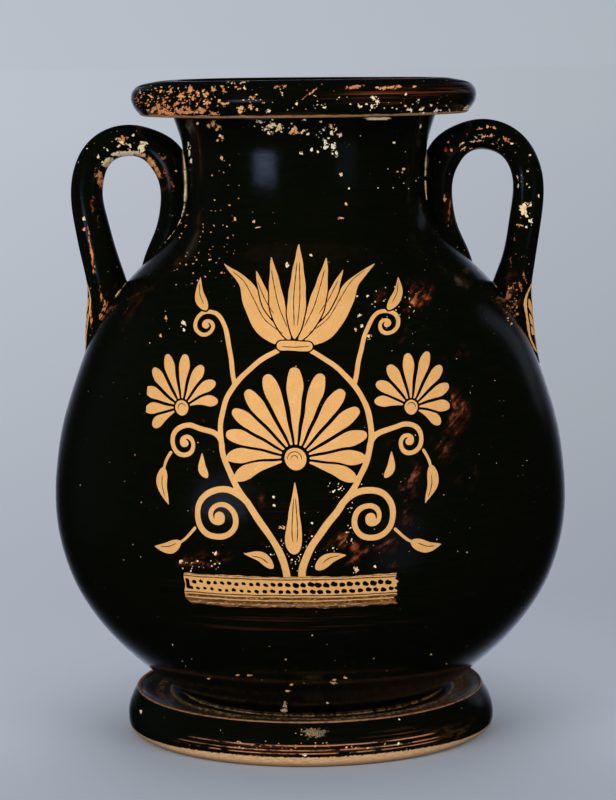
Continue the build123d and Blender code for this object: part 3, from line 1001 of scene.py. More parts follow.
# ------------------------------------------------------------------ lost flakes of gloss
FLAKES = [
    # x, y, half width, half height, tilt in degrees, tone: 0 orange to 1 cream   (mouth, left)
    (150.6, 96.8, 1.6, 2.6, 20, .3), (181.2, 97.4, 3.6, 3.0, -20, .1), (189.5, 89.1, 3.2, 3.4, 10, .1),
    (191.4, 98, 3.4, 2.0, -30, .15), (197.8, 94.2, 1.5, 3.0, 10, .15), (206, 94.2, 2.2, 3.0, -15, .1),
    (213, 88.5, 2.0, 2.8, 15, .15), (224, 91, 2.1, 2.1, 0, .1), (208, 103.8, 2.0, 3.2, 20, .15),
    (222.7, 104.4, 2.1, 1.9, 0, .3), (241, 109.5, 3.0, 3.2, 10, .5), (250.7, 107, 2.0, 2.4, 25, .4),
    (252.6, 97.4, 2.6, 1.8, 0, .1), (269, 111.5, 2.3, 1.6, 0, 1), (296.6, 103.8, 1.4, 1.2, 0, .9),
    (230, 82.2, 4.4, 0.8, -12, .5), (243.7, 82, 4.0, 0.8, 14, .5), (277, 86.6, 2.2, 1.2, 20, 0),
    (284, 86.6, 2.4, 1.4, 30, 0), (312.4, 91.8, 8.6, 0.9, 38, .1), (257, 109.5, 1.3, 1.1, 0, .6),
    (236, 87.0, 1.6, .8, 0, .1), (222, 86.5, 1.5, 1.1, 0, .3), (170, 92, 2.4, 1.2, 35, .2),
    # along the mouth's lower edge
    (163.0, 112.6, 6.5, 2.3, -8, .12), (170.0, 113.6, 5.5, 1.7, -6, .1), (185.0, 112.0, 8.0, 1.9, -4, .12),
    (190.0, 110.4, 3.2, 2.6, 0, .1), (205.0, 112.2, 5.4, 2.7, -3, .12), (213.5, 113.2, 5.2, 1.6, -8, .12),
    (199.6, 109.8, 2.2, 2.8, 0, .15), (178.6, 110.8, 2.0, 2.2, 0, .1), (159, 106.6, 2.0, 2.6, 30, .1),
    (168.5, 107.4, 2.6, 1.2, -30, .15), (176.0, 104.6, 1.6, 3.2, -25, .1), (164.5, 103.6, 1.6, 2.4, 0, .1),
    # mouth, right
    (352, 87.4, 6.6, 1.4, 5, 0), (356.5, 86.6, 5.0, 1.2, 8, .05), (389, 87.6, 7.6, 1.2, 2, .2),
    (396, 86.8, 5.0, 1.5, 6, .15), (382.5, 88.6, 4.0, 0.9, 0, .2), (377, 87.4, 1.6, 1.0, 0, .4),
    (373.5, 98.0, 3.9, 1.5, -12, 1), (377.3, 101.6, 1.5, 3.8, 8, 1), (372.2, 107.3, 2.4, 2.8, -10, 1),
    (359.6, 106.2, 2.1, 1.3, -35, 1), (409.6, 110.2, 2.6, 1.8, 0, 1), (422.2, 109.6, 2.2, 2.0, 30, 1),
    (436, 110.8, 2.0, 1.5, 40, 1), (465.8, 107.9, 3.4, 0.9, 38, .6), (324, 106.7, 2.2, 1.0, -25, 1),
    (366.5, 104.0, 1.2, .9, 0, 1), (431.0, 105.2, 2.0, .8, -30, .8), (405.8, 94.2, 1.2, 1.1, 0, .9),
    (414.4, 86.6, 1.7, .9, 0, .4), (350.5, 104.2, 1.0, .8, 0, .9), (378.0, 118.6, 15.0, 1.25, 0, 1),
    # neck
    (213.8, 124.2, 2.1, 2.8, 20, .4), (218.2, 129.3, 2.2, 2.9, -30, .4), (208.9, 126, 1.7, 2.0, 0, .4),
    (221.4, 138, 1.6, 2.1, 0, .3), (221.7, 158, 1.6, 1.6, 0, .5), (217.6, 140.4, 1.0, 1.2, 0, .4),
    (220.0, 135.6, 1.0, 1.3, 0, .9), (197.6, 123.4, 1.1, 1.3, 0, .9),
    (259, 121.7, 4.0, 1.1, -6, .9), (271.8, 126, 4.4, 2.9, -8, .85), (279.4, 126.8, 2.9, 3.2, 20, .7),
    (265.4, 128.7, 2.4, 1.3, 10, .9), (270, 132.9, 2.2, 1.6, 0, .8), (294, 129.4, 3.6, 3.8, 15, .6),
    (303, 130.6, 3.6, 1.7, 35, .8), (291.0, 133.6, 1.8, 2.2, 0, .5), (311.6, 149.7, 1.6, 1.5, 0, 1),
    (300.6, 153, 2.0, 1.1, -20, .9), (308, 134, 1.5, 1.3, 0, 1), (304.6, 119.8, 1.4, .9, 0, .9),
    (332, 126.3, 2.2, 2.5, 20, .7), (335.6, 130.0, 1.0, 2.0, -20, .8), (331.5, 133.1, 1.9, 1.9, 0, .9),
    (340.3, 134.9, 1.8, 1.8, 0, .6), (332.6, 146.9, 2.6, 3.2, 0, 1.3), (325.2, 142.3, 1.6, 3.8, 10, 1.3),
    (325.0, 147.6, 1.9, 1.8, 0, 1.3), (336.4, 154.0, 1.3, 2.4, 0, 1.3), (320.8, 121.6, 1.2, 1.0, 0, 1),
    (394, 142.6, 1.1, 1.2, 0, 1), (341, 174.5, 1.7, 1.6, 0, .7), (403.5, 169, 1.5, 1.2, 10, .5),
    (397.6, 171.6, 1.2, .7, 0, .5), (420.5, 126.3, .8, 1.7, -15, 1), (189.4, 152.0, .8, 4.6, -10, 1),
    (191.4, 160.0, .7, 3.6, -10, 1), (188.2, 145.0, .6, 2.6, -10, 1), (349, 188.2, .9, .9, 0, .9),
    (346.0, 204.0, 1.4, 1.4, 0, .6), (341.0, 218.0, 2.6, 1.4, 10, .5), (254.0, 221.6, 1.3, 1.2, 0, .6),
    (258.0, 227.6, 2.4, .8, 0, .5), (235.0, 219.0, 1.2, 1.8, 0, .5), (311.0, 255.2, 1.2, 1.2, 0, .9),
    (287.0, 265.4, 1.8, 2.0, 0, .9),
    # shoulder and belly
    (183.0, 324.0, 2.2, 2.8, 20, .9), (166.4, 318.6, 1.2, 2.0, 0, .4), (184.0, 330.0, 1.2, 1.6, 0, .8),
    (160.6, 335.6, 1.0, 1.8, 0, .4), (358.6, 315.6, 2.4, 1.0, 20, .9), (361.8, 326.0, 1.5, 1.5, 0, .8),
    (365.0, 331.0, 1.8, 1.4, 0, .7), (369.0, 336.6, 2.0, 2.2, 0, .8), (355.6, 329.6, 1.3, 1.6, 0, .5),
    (357.0, 296.4, .9, .9, 0, .9), (367.6, 296.0, 1.0, 1.0, 0, .9), (289.4, 529.0, 2.1, 2.4, 0, .7),
    (283.0, 528.0, 3.4, 1.7, -15, .5), (273.6, 497.0, 1.2, 1.3, 0, .9), (274.2, 505.4, 1.3, 1.3, 0, .9),
    (312.0, 523.0, 1.3, 1.0, 0, .9), (215.0, 553.6, 1.6, 2.0, 0, .8), (180.0, 561.4, 2.6, 1.3, -15, .8),
    (355.4, 569.8, 3.0, 2.2, 0, .6), (333.0, 548.0, 1.1, 1.0, 0, .8), (375.0, 566.4, 1.2, 1.2, 0, 1),
    # handles
    (121.6, 138.6, 3.9, 2.8, 0, .15), (121.6, 143, 3.2, 2.3, 0, 1), (128.8, 144, 2.4, 1.6, -20, 1),
    (144.2, 142.6, 3.8, 2.2, -15, 1), (133.3, 135.3, 1.4, 1.2, 0, 1), (141.6, 149.0, 3.6, 3.6, 20, 1),
    (107.6, 150.4, 1.0, .9, 0, 1), (98.2, 156.8, 1.2, 1.6, 0, .8), (163, 157.7, 2.3, 2.4, -30, -.5),
    (83.9, 218.8, 1.5, 1.9, 0, .8), (84.1, 229.3, 1.4, 1.6, 0, .5), (176.0, 171.0, 1.0, 1.0, 0, .5),
    (524.5, 212, 4.2, 8.0, 14, .85), (530, 205, 1.7, 2.0, 0, .9), (530.4, 221.6, 1.9, 2.6, 0, .9),
    (520.5, 224.8, 2.6, 1.4, 0, .3), (526.2, 227.0, 1.4, 1.0, 0, .8), (479.8, 128.3, 2.8, .9, 5, .3),
    (487.5, 126.7, 1.5, 1.3, 0, .6), (494, 128, 2.8, .8, -20, .3), (485.4, 136.3, 2.6, .9, -5, .5),
    (491.8, 135.5, 2.0, 1.3, 10, .3), (463.9, 148.8, 2.6, 1.1, 30, .5), (461.8, 143.5, 2.9, 1.0, 42, .7),
    (451.4, 150.2, 1.3, 1.5, 0, .4), (511.7, 143.5, 1.7, .9, -20, 1), (506.6, 139.6, 4.6, 1.3, -35, .1),
    (444.7, 199.3, 1.7, 1.4, 0, .1), (530.0, 155.0, 1.0, 1.0, 0, .9), (527.6, 171.2, 1.2, .6, 0, .9),
    (529.4, 187.2, .8, .8, 0, .9), (518.2, 185.6, .7, 1.6, 0, .8), (517.4, 177.4, .6, 2.0, 15, .8),
    (538.6, 195.8, .8, 1.4, 0, .8), (473.0, 141.4, 3.2, .6, 10, .5), (480.0, 140.8, 3.0, .6, 0, .4),
    # foot
    (284.0, 710.6, 3.2, 1.5, 0, .85), (285.0, 705.6, 1.8, 3.6, 0, .7), (327.6, 702.8, 1.1, .9, 0, 1),
    (287.6, 691.0, 1.9, .9, 5, .6), (291.4, 684.6, 1.4, .9, 0, .6), (332.8, 683.0, 3.0, 1.0, -8, .5),
    (334.0, 679.6, 2.0, .8, 12, .5), (344.8, 677.4, 2.2, 1.0, 0, .5), (249.6, 675.4, 2.0, .7, 0, .4),
    (237.6, 675.0, 1.4, .8, 0, .4), (208.6, 678.6, 1.3, .7, 0, .5), (141.0, 711.6, 1.0, 1.6, 0, .8),
    (398.4, 743.6, 1.1, 1.4, 0, .9), (304.6, 755.0, 2.0, 1.0, 0, 1), (399.2, 719.6, 1.0, 1.0, 0, 1),
]


def cluster(rng, cx, cy, rx, ry, n, lo, hi, tone, stretch=1.5, tilt=0.0):
    out = []
    for _ in range(n):
        a, r = rng.uniform(0, 2 * np.pi), rng.uniform(0, 1) ** 0.55
        s = lo + (hi - lo) * rng.random() ** 2.2
        k = rng.uniform(1, stretch)
        out.append((cx + rx * r * math.cos(a), cy + ry * r * math.sin(a), s * k ** 0.5, s / k ** 0.5,
                    tilt + rng.uniform(-40, 40), tone + rng.uniform(-0.2, 0.2)))
    return out


def broken(rng, L):
    """Long or large losses fall apart into a crowd of splinters with crumbs round them."""
    out = []
    for x, y, rx, ry, tilt, tn in L:
        big = max(rx, ry) > 1.9
        if not big or (x, y) == (378.0, 118.6):
            out.append((x, y, rx, ry, tilt, tn))
            continue
        t = math.radians(-tilt)
        area, used = rx * ry, 0.0
        while used < 0.80 * area:
            a, r = rng.uniform(0, 2 * np.pi), rng.uniform(0, 1) ** 0.6
            u, v = rx * 0.85 * r * math.cos(a), ry * 0.85 * r * math.sin(a)
            s = rng.uniform(0.40, 0.62) * min(rx, ry) if min(rx, ry) > 1.3 else rng.uniform(0.6, 0.9) * min(rx, ry)
            k = rng.uniform(1.0, 1.9) if rx / ry < 2.5 and ry / rx < 2.5 else rng.uniform(1.4, 2.6)
            along = 0 if rx >= ry else 90
            out.append((x + u * math.cos(t) - v * math.sin(t), y + u * math.sin(t) + v * math.cos(t),
                        s * k ** 0.5, s / k ** 0.5, tilt + along + rng.uniform(-22, 22), tn + rng.uniform(-.14, .14)))
            used += s * s
        for _ in range(int(2 + 0.6 * (rx + ry))):
            a, r = rng.uniform(0, 2 * np.pi), rng.uniform(1.0, 1.5)
            u, v = rx * r * math.cos(a), ry * r * math.sin(a)
            s = rng.uniform(0.35, 0.6)
            out.append((x + u * math.cos(t) - v * math.sin(t), y + u * math.sin(t) + v * math.cos(t), s, s * 0.8,
                        rng.uniform(0, 90), tn + rng.uniform(-.2, .2)))
    return out


def flake_list():
    rng = np.random.default_rng(77)
    L = broken(np.random.default_rng(31), FLAKES)
    L += cluster(rng, 182, 100, 38, 13, 52, .35, 1.3, .15, 2.3, 25)
    L += cluster(rng, 162, 93, 24, 10, 42, .3, 0.95, .2, 2.6, 30)
    L += cluster(rng, 142, 97, 9, 10, 22, .35, .95, -.1, 2.4, 40)
    L += cluster(rng, 178, 110, 34, 3.4, 52, .4, 1.6, .12, 2.2, 10)
    L += cluster(rng, 240, 96, 40, 13, 24, .5, 1.3, .5, 1.6)
    L += cluster(rng, 300, 98, 50, 13, 20, .4, .9, .8, 1.6)
    L += cluster(rng, 420, 106, 42, 8, 16, .4, 1.0, .9, 1.8)
    L += cluster(rng, 275, 127, 22, 8, 16, .4, 1.1, .9, 1.5)
    L += cluster(rng, 325, 140, 16, 16, 22, .4, 1.2, 1.2, 1.5)
    L += cluster(rng, 205, 250, 34, 42, 44, .4, .95, .4, 1.6)
    L += cluster(rng, 225, 190, 18, 36, 14, .35, .8, .5, 1.5)
    L += cluster(rng, 395, 305, 26, 20, 34, .35, .9, .9, 1.4)
    L += cluster(rng, 345, 485, 18, 14, 34, .4, .95, .9, 1.4)
    L += cluster(rng, 350, 525, 4, 28, 16, .4, 1.0, .9, 1.4)
    L += cluster(rng, 295, 552, 34, 20, 90, .35, .95, .8, 1.4)
    L += cluster(rng, 200, 566, 22, 6, 16, .4, 1.0, .7, 1.6)
    L += cluster(rng, 402, 180, 30, 22, 8, .4, .7, .8, 1.4)
    L += cluster(rng, 478, 140, 34, 10, 20, .4, 1.2, .35, 2.4, -10)
    L += cluster(rng, 512, 302, 7, 22, 22, .4, 1.3, .25, 1.8)
    L += cluster(rng, 118, 146, 18, 7, 12, .4, 1.1, .8, 1.6)
    L += cluster(rng, 308, 731.5, 14, 4, 16, .4, 0.9, .30, 1.5)
    L += cluster(rng, 300, 745, 90, 5, 36, .4, 1.0, .5, 2.5)
    L += cluster(rng, 300, 655, 170, 22, 10, .35, .8, .6, 1.6)
    L += cluster(rng, 300, 430, 230, 190, 44, .3, .6, .8, 1.4)
    return L


def flake_mesh(name, L, seed, hit_at=at_pixel):
    rng = np.random.default_rng(seed)
    Vx, F, tone, k = [], [], [], 0
    for x, y, rx, ry, tilt, tn in L:
        c, nc = hit_at(x, y)
        if c is None:
            continue
        n = 9 if max(rx, ry) < 1.2 else 25
        a = 2 * np.pi * np.arange(n) / n
        if max(rx, ry) < 1.2:
            rad = 1 + 0.24 * rng.standard_normal(n)
        else:
            rad = 1 + sum(rng.uniform(.10, .26) / m ** 0.30 * np.cos(m * a + rng.uniform(0, 6.28))
                          for m in (2, 3, 4, 6, 9, 11))
        rad = np.clip(rad, 0.38, 1.6)
        t = math.radians(-tilt)
        u, v = rx * rad * np.cos(a), ry * rad * np.sin(a)
        ox, oy = u * math.cos(t) - v * math.sin(t), u * math.sin(t) + v * math.cos(t)
        ring, ok = [], True
        reach = 1.1 + 1.05 * max(rx, ry)              # no flake spans from one wall to another
        for f in (1.0, 0.55):
            for dx, dy in zip(ox, oy):
                p, nn = hit_at(x + dx * f, y + dy * f)
                if p is None or np.linalg.norm(p - c) > reach or abs(np.dot(p - c, nc)) > 0.35 * np.linalg.norm(p - c) + 0.25 or np.dot(nn, nc) < 0.55:
                    ok = False
                    break
                ring.append((p, nn))
            if not ok:
                break
        if not ok:
            continue
        P, N = np.array([q[0] for q in ring]), np.array([q[1] for q in ring])
        Vx += [P[:n] + N[:n] * 0.062, P[n:] + N[n:] * 0.066, [c + nc * 0.066], P[:n] - N[:n] * 0.15]
        for i in range(n):
            j = (i + 1) % n
            F += [[k + i, k + n + i, k + n + j, k + j], [k + n + i, k + 2 * n, k + n + j],
                  [k + i, k + j, k + 2 * n + 1 + j, k + 2 * n + 1 + i]]
        tone += [tn] * (3 * n + 1)
        k += 3 * n + 1
    ob = make_mesh(name, np.vstack(Vx), F)
    me = ob.data
    add_attr(ob, "tone", tone)
    return ob


def face_out(ob, centre_of=None):
    """Flip any face of a surface flake that looks into the pot."""
    import bmesh
    bm = bmesh.new()
    bm.from_mesh(ob.data)
    bad = []
    for f in bm.faces:
        c = np.array(f.calc_center_median()) / MM
        _, _, out = seen_at(c[None])
        if np.dot(np.array(f.normal), out[0]) < -0.02 and len(f.verts) != 0:
            bad.append(f)
    bmesh.ops.reverse_faces(bm, faces=bad)
    bm.to_mesh(ob.data)
    bm.free()


def off_drawing(L):
    """Flakes of gloss can't be lost where there is none: leave out those on the drawing."""
    out = []
    for it in L:
        p, _ = at_pixel(it[0], it[1])
        if p is not None and 60 < p[2] < 222 and drawing_distance(p[None])[0] < 0.3 * max(it[2], it[3]) + 0.1:
            continue
        out.append(it)
    return out


flakes = flake_mesh("lost_flakes_front", off_drawing(flake_list()), 5)
face_out(flakes)
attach(flakes, "root")


# flakes on the sides and back, which the photograph doesn't show
def back_hit(th, z):
    """Outermost point of the pot at azimuth th, height z, looking towards the axis."""
    d = Vector((-math.sin(th), math.cos(th), 0))
    o = Vector((math.sin(th) * 150.0, -math.cos(th) * 150.0, z))
    hit, n, _, _ = front_tree.ray_cast(o, d)
    return (None, None) if hit is None else (np.array(hit), np.array(n))


def back_list():
    rng = np.random.default_rng(101)
    spots = []
    for _ in range(26):
        th = rng.uniform(1.75, 4.5)
        zone = rng.choice(4, p=[.36, .2, .28, .16])
        z = (rng.uniform(267, 277), rng.uniform(222, 260), rng.uniform(60, 200), rng.uniform(6, 14))[zone]
        n = int(rng.integers(6, 34))
        spots.append((th, z, rng.uniform(3, 16), rng.uniform(2, 6) if zone in (0, 3) else rng.uniform(3, 12), n,
                      rng.uniform(0, 1)))
    out = []
    for th, z, rx, rz, n, tone in spots:
        c, _ = back_hit(th, z)
        if c is None:
            continue
        rad = math.hypot(c[0], c[1])
        for _ in range(n):
            s = 0.18 + 0.85 * rng.random() ** 2.4
            k = rng.uniform(1, 1.8)
            out.append((th + rx * rng.standard_normal() * 0.5 / rad, z + rz * rng.standard_normal() * 0.5, s * k, s / k,
                        rng.uniform(-40, 40), tone + rng.uniform(-.2, .2), rad))
    for _ in range(170):
        th, z = rng.uniform(1.5, 4.8), rng.uniform(24, 262)
        out.append((th, z, rng.uniform(.15, .4), rng.uniform(.15, .35), 0, rng.uniform(.3, 1), 90.0))
    # one crowd on the foot is thinned to scattered specks
    return [it for k, it in enumerate(out) if not (3.96 < it[0] < 4.20 and it[1] < 20.0 and k % 4)]


def back_flakes():
    items = back_list()
    L, look = [], {}
    base = []
    for th, z, rx, rz, tilt, tone, rad in items:
        base.append((th * 1000.0, z, rx, rz, tilt, tone))
    rads = [i[6] for i in items]

    def hit_at(x, y):
        return back_hit(x / 1000.0, y)
    scaled = [(x, y, rx * 1000.0 / r, ry, 0.0, tn) for (x, y, rx, ry, tilt, tn), r in zip(base, rads)]
    return flake_mesh_xy("lost_flakes_back", scaled, 6, hit_at)


def flake_mesh_xy(name, L, seed, hit_at):
    rng = np.random.default_rng(seed)
    Vx, F, tone, k = [], [], [], 0
    for x, y, rx, ry, _, tn in L:
        c, nc = hit_at(x, y)
        if c is None or abs(nc[2]) > 0.93:
            continue
        n = 9 if ry < 0.5 else 15
        a = 2 * np.pi * np.arange(n) / n
        rad = np.clip(1 + sum(rng.uniform(.09, .24) / m ** 0.35 * np.cos(m * a + rng.uniform(0, 6.28))
                              for m in (2, 3, 5)), 0.4, 1.6)
        ring = []
        for f in (1.0, 0.55):
            for dx, dy in zip(rx * rad * np.cos(a), ry * rad * np.sin(a)):
                p, nn = hit_at(x + dx * f, y + dy * f)
                if p is None or np.linalg.norm(p - c) > 4.5 or np.dot(nn, nc) < 0.6:
                    ring = None
                    break
                ring.append((p, nn))
            if ring is None:
                break
        if ring is None:
            continue
        P, N = np.array([q[0] for q in ring]), np.array([q[1] for q in ring])
        Vx += [P[:n] + N[:n] * 0.062, P[n:] + N[n:] * 0.066, [c + nc * 0.066], P[:n] - N[:n] * 0.15]
        for i in range(n):
            j = (i + 1) % n
            F += [[k + i, k + j, k + n + j, k + n + i], [k + n + i, k + n + j, k + 2 * n],
                  [k + i, k + 2 * n + 1 + i, k + 2 * n + 1 + j, k + j]]
        tone += [tn] * (3 * n + 1)
        k += 3 * n + 1
    ob = make_mesh(name, np.vstack(Vx), F)
    add_attr(ob, "tone", tone)
    return ob


flakes_b = back_flakes()
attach(flakes_b, "root")

# ------------------------------------------------------------------ where the gloss is thin or worn
def blobs(P, N, spec):
    """Soft patches given at the photograph's places, on what faces the camera."""
    x, y, cam_dir = seen_at(P)
    face = smoothstep(0.02, 0.22, (N * cam_dir).sum(1)) * (P[:, 1] < 12)
    out = np.zeros(len(P))
    for cx, cy, rx, ry, tilt, amt in spec:
        t = math.radians(-tilt)
        dx, dy = x - cx, y - cy
        u, v = dx * math.cos(t) + dy * math.sin(t), -dx * math.sin(t) + dy * math.cos(t)
        q = np.sqrt((u / rx) ** 2 + (v / ry) ** 2)
        out = np.maximum(out, amt * (1 - smoothstep(0.45, 1.25, q)))
    return out * face


def patches(P, N, seed, count, th_range, z_range, size, amt):
    """Seeded soft patches for the sides and the back."""
    rng = np.random.default_rng(seed)
    th = np.mod(np.arctan2(P[:, 0], -P[:, 1]), 2 * np.pi)
    out = np.zeros(len(P))
    for _ in range(count):
        t0, z0 = rng.uniform(*th_range), rng.uniform(*z_range)
        sx, sz, a = rng.uniform(*size), rng.uniform(*size) * 0.8, rng.uniform(*amt)
        rho = np.hypot(P[:, 0], P[:, 1])
        d = np.mod(th - t0 + np.pi, 2 * np.pi) - np.pi
        q = np.sqrt((d * rho / sx) ** 2 + ((P[:, 2] - z0) / sz) ** 2)
        out = np.maximum(out, a * (1 - smoothstep(0.3, 1.2, q)))
    return out


def set_paint(ob, **fields):
    n = len(ob.data.vertices)
    for key in ("mis", "streak", "pin", "rub", "rtone", "reserve"):
        add_attr(ob, key, fields.get(key, np.zeros(n)) * np.ones(n))


def unseen(P):
    """Nothing on the part of the pot that faces the camera, one from its sides round the back."""
    return smoothstep(math.radians(72), math.radians(98), np.abs(np.arctan2(P[:, 0], -P[:, 1])))


P, N = coords(jar), normals(jar)
out_side = (np.abs(np.hypot(P[:, 0], P[:, 1]) - wall_r(P[:, 2])) < 2.0) & (P[:, 2] > 12.6)
clear = smoothstep(1.2, 3.4, drawing_distance(P))
mis = blobs(P, N, [
    (406, 297, 34, 20, 8, .85), (398, 330, 16, 16, 0, .5), (447, 414, 26, 30, -20, .62), (432, 388, 12, 18, 0, .5),
    (430, 456, 34, 22, 20, .5), (384, 522, 30, 34, 30, .95), (350, 545, 22, 22, 0, .85),
    (404, 496, 16, 46, -25, .78), (298, 548, 40, 22, 10, .95), (262, 520, 8, 40, 5, .5),
    (204, 560, 30, 11, 10, .85), (236, 500, 7, 46, 0, .4), (466, 271, 4, 12, -38, .55),
    (128, 318, 8, 28, -26, .42), (140, 300, 4, 18, -30, .42), (462, 353, 10, 12, 0, .4), (384, 566, 18, 10, 0, .6),
    (440, 372, 12, 22, 0, .4), (392, 448, 14, 18, 0, .4), (470, 470, 16, 40, -15, .28),
]) * clear
hid = unseen(P)
mis = np.maximum(mis, patches(P, N, 3, 20, (1.25, 5.0), (45, 205), (9, 30), (.45, .95)) * (P[:, 2] > 30) * hid)
streak = blobs(P, N, [(300, 622, 112, 14, 0, .62), 
                      (262, 520, 60, 30, 0, .15), (240, 582, 80, 8, 0, .5)]) * smoothstep(0.4, 1.6, drawing_distance(P))
streak = np.maximum(streak, patches(P, N, 4, 9, (1.4, 4.9), (30, 250), (14, 40), (.3, .8)) * hid)
pin = blobs(P, N, [(200, 250, 46, 60, 0, .45), (412, 312, 34, 26, 0, .7), (300, 550, 46, 26, 0, .9),
                   (350, 500, 30, 50, 0, .4), (290, 132, 110, 20, 0, .25), (300, 680, 180, 26, 0, .05)]) * clear
pin = np.maximum(pin, patches(P, N, 5, 26, (1.2, 5.1), (24, 262), (10, 34), (.2, .8)) * hid)
inside = ~out_side
depth_in = np.where(inside & (P[:, 2] > 16), smoothstep(214, 206, P[:, 2] + 3.0 * np.sin(3 * np.arctan2(P[:, 0], -P[:, 1]))), 0)
under = np.where(P[:, 2] < 12.5, smoothstep(46.6, 45.4, np.hypot(P[:, 0], P[:, 1])), 0)
set_paint(jar, mis=mis * out_side, streak=streak * out_side, pin=pin * out_side,
          reserve=np.maximum(depth_in, under))

P, N = coords(lip), normals(lip)
rho = np.hypot(P[:, 0], P[:, 1])
hid = unseen(P)
set_paint(lip,
          streak=np.maximum(blobs(P, N, [(404, 97, 66, 13, 0, 1.0), (448, 96, 24, 12, 0, .9), (345, 101, 40, 7, 0, .5),
                                         (300, 90, 40, 5, 0, .2)]),
                            patches(P, N, 8, 7, (1.4, 4.9), (267, 277), (8, 40), (.4, .9)) * hid),
          pin=np.maximum(blobs(P, N, [(190, 98, 60, 18, 0, .8), (290, 98, 70, 16, 0, .4), (400, 104, 70, 14, 0, .4)]),
                         patches(P, N, 9, 10, (1.3, 5.0), (266, 279), (10, 30), (.4, .9)) * hid),
          mis=np.maximum(blobs(P, N, [(290, 87, 14, 3, 0, .4), (352, 88, 10, 3, 0, .6), (394, 88, 24, 3, 0, .6),
                                      (160, 100, 26, 12, 0, .35)]),
                         patches(P, N, 10, 6, (1.4, 4.9), (265, 279), (8, 18), (.5, .9)) * hid))

P, N = coords(foot), normals(foot)
rho = np.hypot(P[:, 0], P[:, 1])
hid = unseen(P)
set_paint(foot,
          streak=np.maximum(blobs(P, N, [(300, 748, 112, 9, 0, 1.0), (400, 738, 44, 12, 0, .8), (210, 740, 46, 6, 0, .45)]),
                            patches(P, N, 12, 8, (1.3, 5.0), (4, 15), (12, 40), (.4, .9)) * hid) * (P[:, 2] > 3),
          pin=np.maximum(blobs(P, N, [(300, 748, 110, 10, 0, .8), (310, 731, 20, 6, 0, .8)]),
                         patches(P, N, 13, 10, (1.3, 5.0), (4, 16), (10, 30), (.3, .8)) * hid),
          mis=np.where((rho < 74) & (P[:, 2] > 14), 0.30, 0.0),
          reserve=np.where(P[:, 2] < 12, smoothstep(62.0, 60.5, rho), 0))

P, N = coords(fillet), normals(fillet)
set_paint(fillet)

for word, side, seed in (("left", -1, 21), ("right", 1, 22)):
    ob = handles[word]
    P, N = coords(ob), normals(ob)
    if side < 0:
        hot = [(99.5, 178, 4.2, 11, 12, .74, .20), (108, 162, 7, 4.6, 40, .86, .85), (124, 153.5, 15, 2.8, 4, .95, 1.0),
               (140, 154, 9, 2.4, -20, .82, .55), (151, 162, 8, 4.2, -50, .80, .15), (158, 172, 3.2, 8, 25, .72, .05),
               (167, 175, 1.8, 8, 26, .66, -.45), (173, 186, 1.8, 5, 20, .66, -.45), (141, 148, 3.4, 4, 10, .95, 1.0),
               (91.5, 252, 1.7, 13, 9, .80, .05), (88.2, 231, 1.0, 12, 8, .70, -.1), (94.0, 268, 1.8, 9, 12, .72, .0),
               (101, 294, 1.5, 12, 10, .66, -.1), (104.5, 304, 1.6, 8, 4, .66, -.1), (91.0, 318, 1.4, 14, 4, .8, .1),
               (103, 312, 2.2, 14, -24, .62, -.2), (93, 205, 3, 10, 0, .35, -.5), (99, 212, 2, 12, 0, .35, -.4)]
        red = [(110, 300, 16, 26, 0, .35), (95, 215, 9, 30, 0, .4), (165, 180, 10, 20, 0, .4), (152, 215, 4, 26, 0, .35)]
    else:
        hot = [(449.5, 212, 1.2, 14, -4, .62, -.4), (445, 198, 1.8, 4, 0, .66, -.3), (446, 149, 2.4, 2.4, 0, .6, -.7),
               (507, 139.5, 5, 1.3, -32, .72, -.3), (514, 238, 1.2, 5, 0, .6, -.4), (524.5, 277, 1.5, 8, 14, .64, -.1),
               (510, 292, 3.2, 12, -12, .54, -.2), (515, 306, 3.0, 10, -10, .54, .0), (520, 286, 1.6, 7, 20, .54, -.1),
               (511, 262, 1.2, 5, 6, .54, -.4), (523, 255, 1.4, 3, 0, .45, -.6)]
        red = [(512, 290, 14, 30, 0, .45), (450, 210, 7, 24, 0, .4), (450, 150, 12, 8, 0, .4)]
    x, y, cd = seen_at(P)
    face = smoothstep(0.0, 0.2, (N * cd).sum(1)) * (P[:, 1] < 9)
    rub, tone, wsum = np.zeros(len(P)), np.zeros(len(P)), np.full(len(P), 1e-6)
    for cx, cy, rx, ry, tilt, amt, tn in hot:
        t = math.radians(-tilt)
        dx, dy = x - cx, y - cy
        u, v = dx * math.cos(t) + dy * math.sin(t), -dx * math.sin(t) + dy * math.cos(t)
        w = amt * (1 - smoothstep(0.55, 1.30, np.sqrt((u / rx) ** 2 + (v / ry) ** 2)))
        rub = np.maximum(rub, w)
        tone += w * tn
        wsum += w
    # the same wear on the side of the handle turned away, in other places
    rng = np.random.default_rng(seed)
    for _ in range(16):
        i = rng.integers(0, len(P))
        if P[i, 1] < 2 or P[i, 2] < 166:
            continue
        q = np.linalg.norm((P - P[i]) / np.array([rng.uniform(1.5, 4), rng.uniform(1.5, 4), rng.uniform(2, 9)]), axis=1)
        w = rng.uniform(.6, 1) * (1 - smoothstep(0.5, 1.3, q))
        rub = np.maximum(rub, w)
        tn = rng.uniform(-.4, 1)
        tone += w * tn
        wsum += w
        face = np.maximum(face, w > 0)
    set_paint(ob, rub=rub * face, rtone=tone / wsum,
              mis=np.maximum(blobs(P, N, red), 0.30 * (P[:, 1] > 2)),
              pin=0.35 + 0.3 * np.sin(P[:, 2] * 0.13 + side))


# ------------------------------------------------------------------ materials
def lin(r, g, b):
    f = [c / 255.0 for c in (r, g, b)]
    return tuple(c / 12.92 if c <= 0.04045 else ((c + 0.055) / 1.055) ** 2.4 for c in f) + (1.0,)


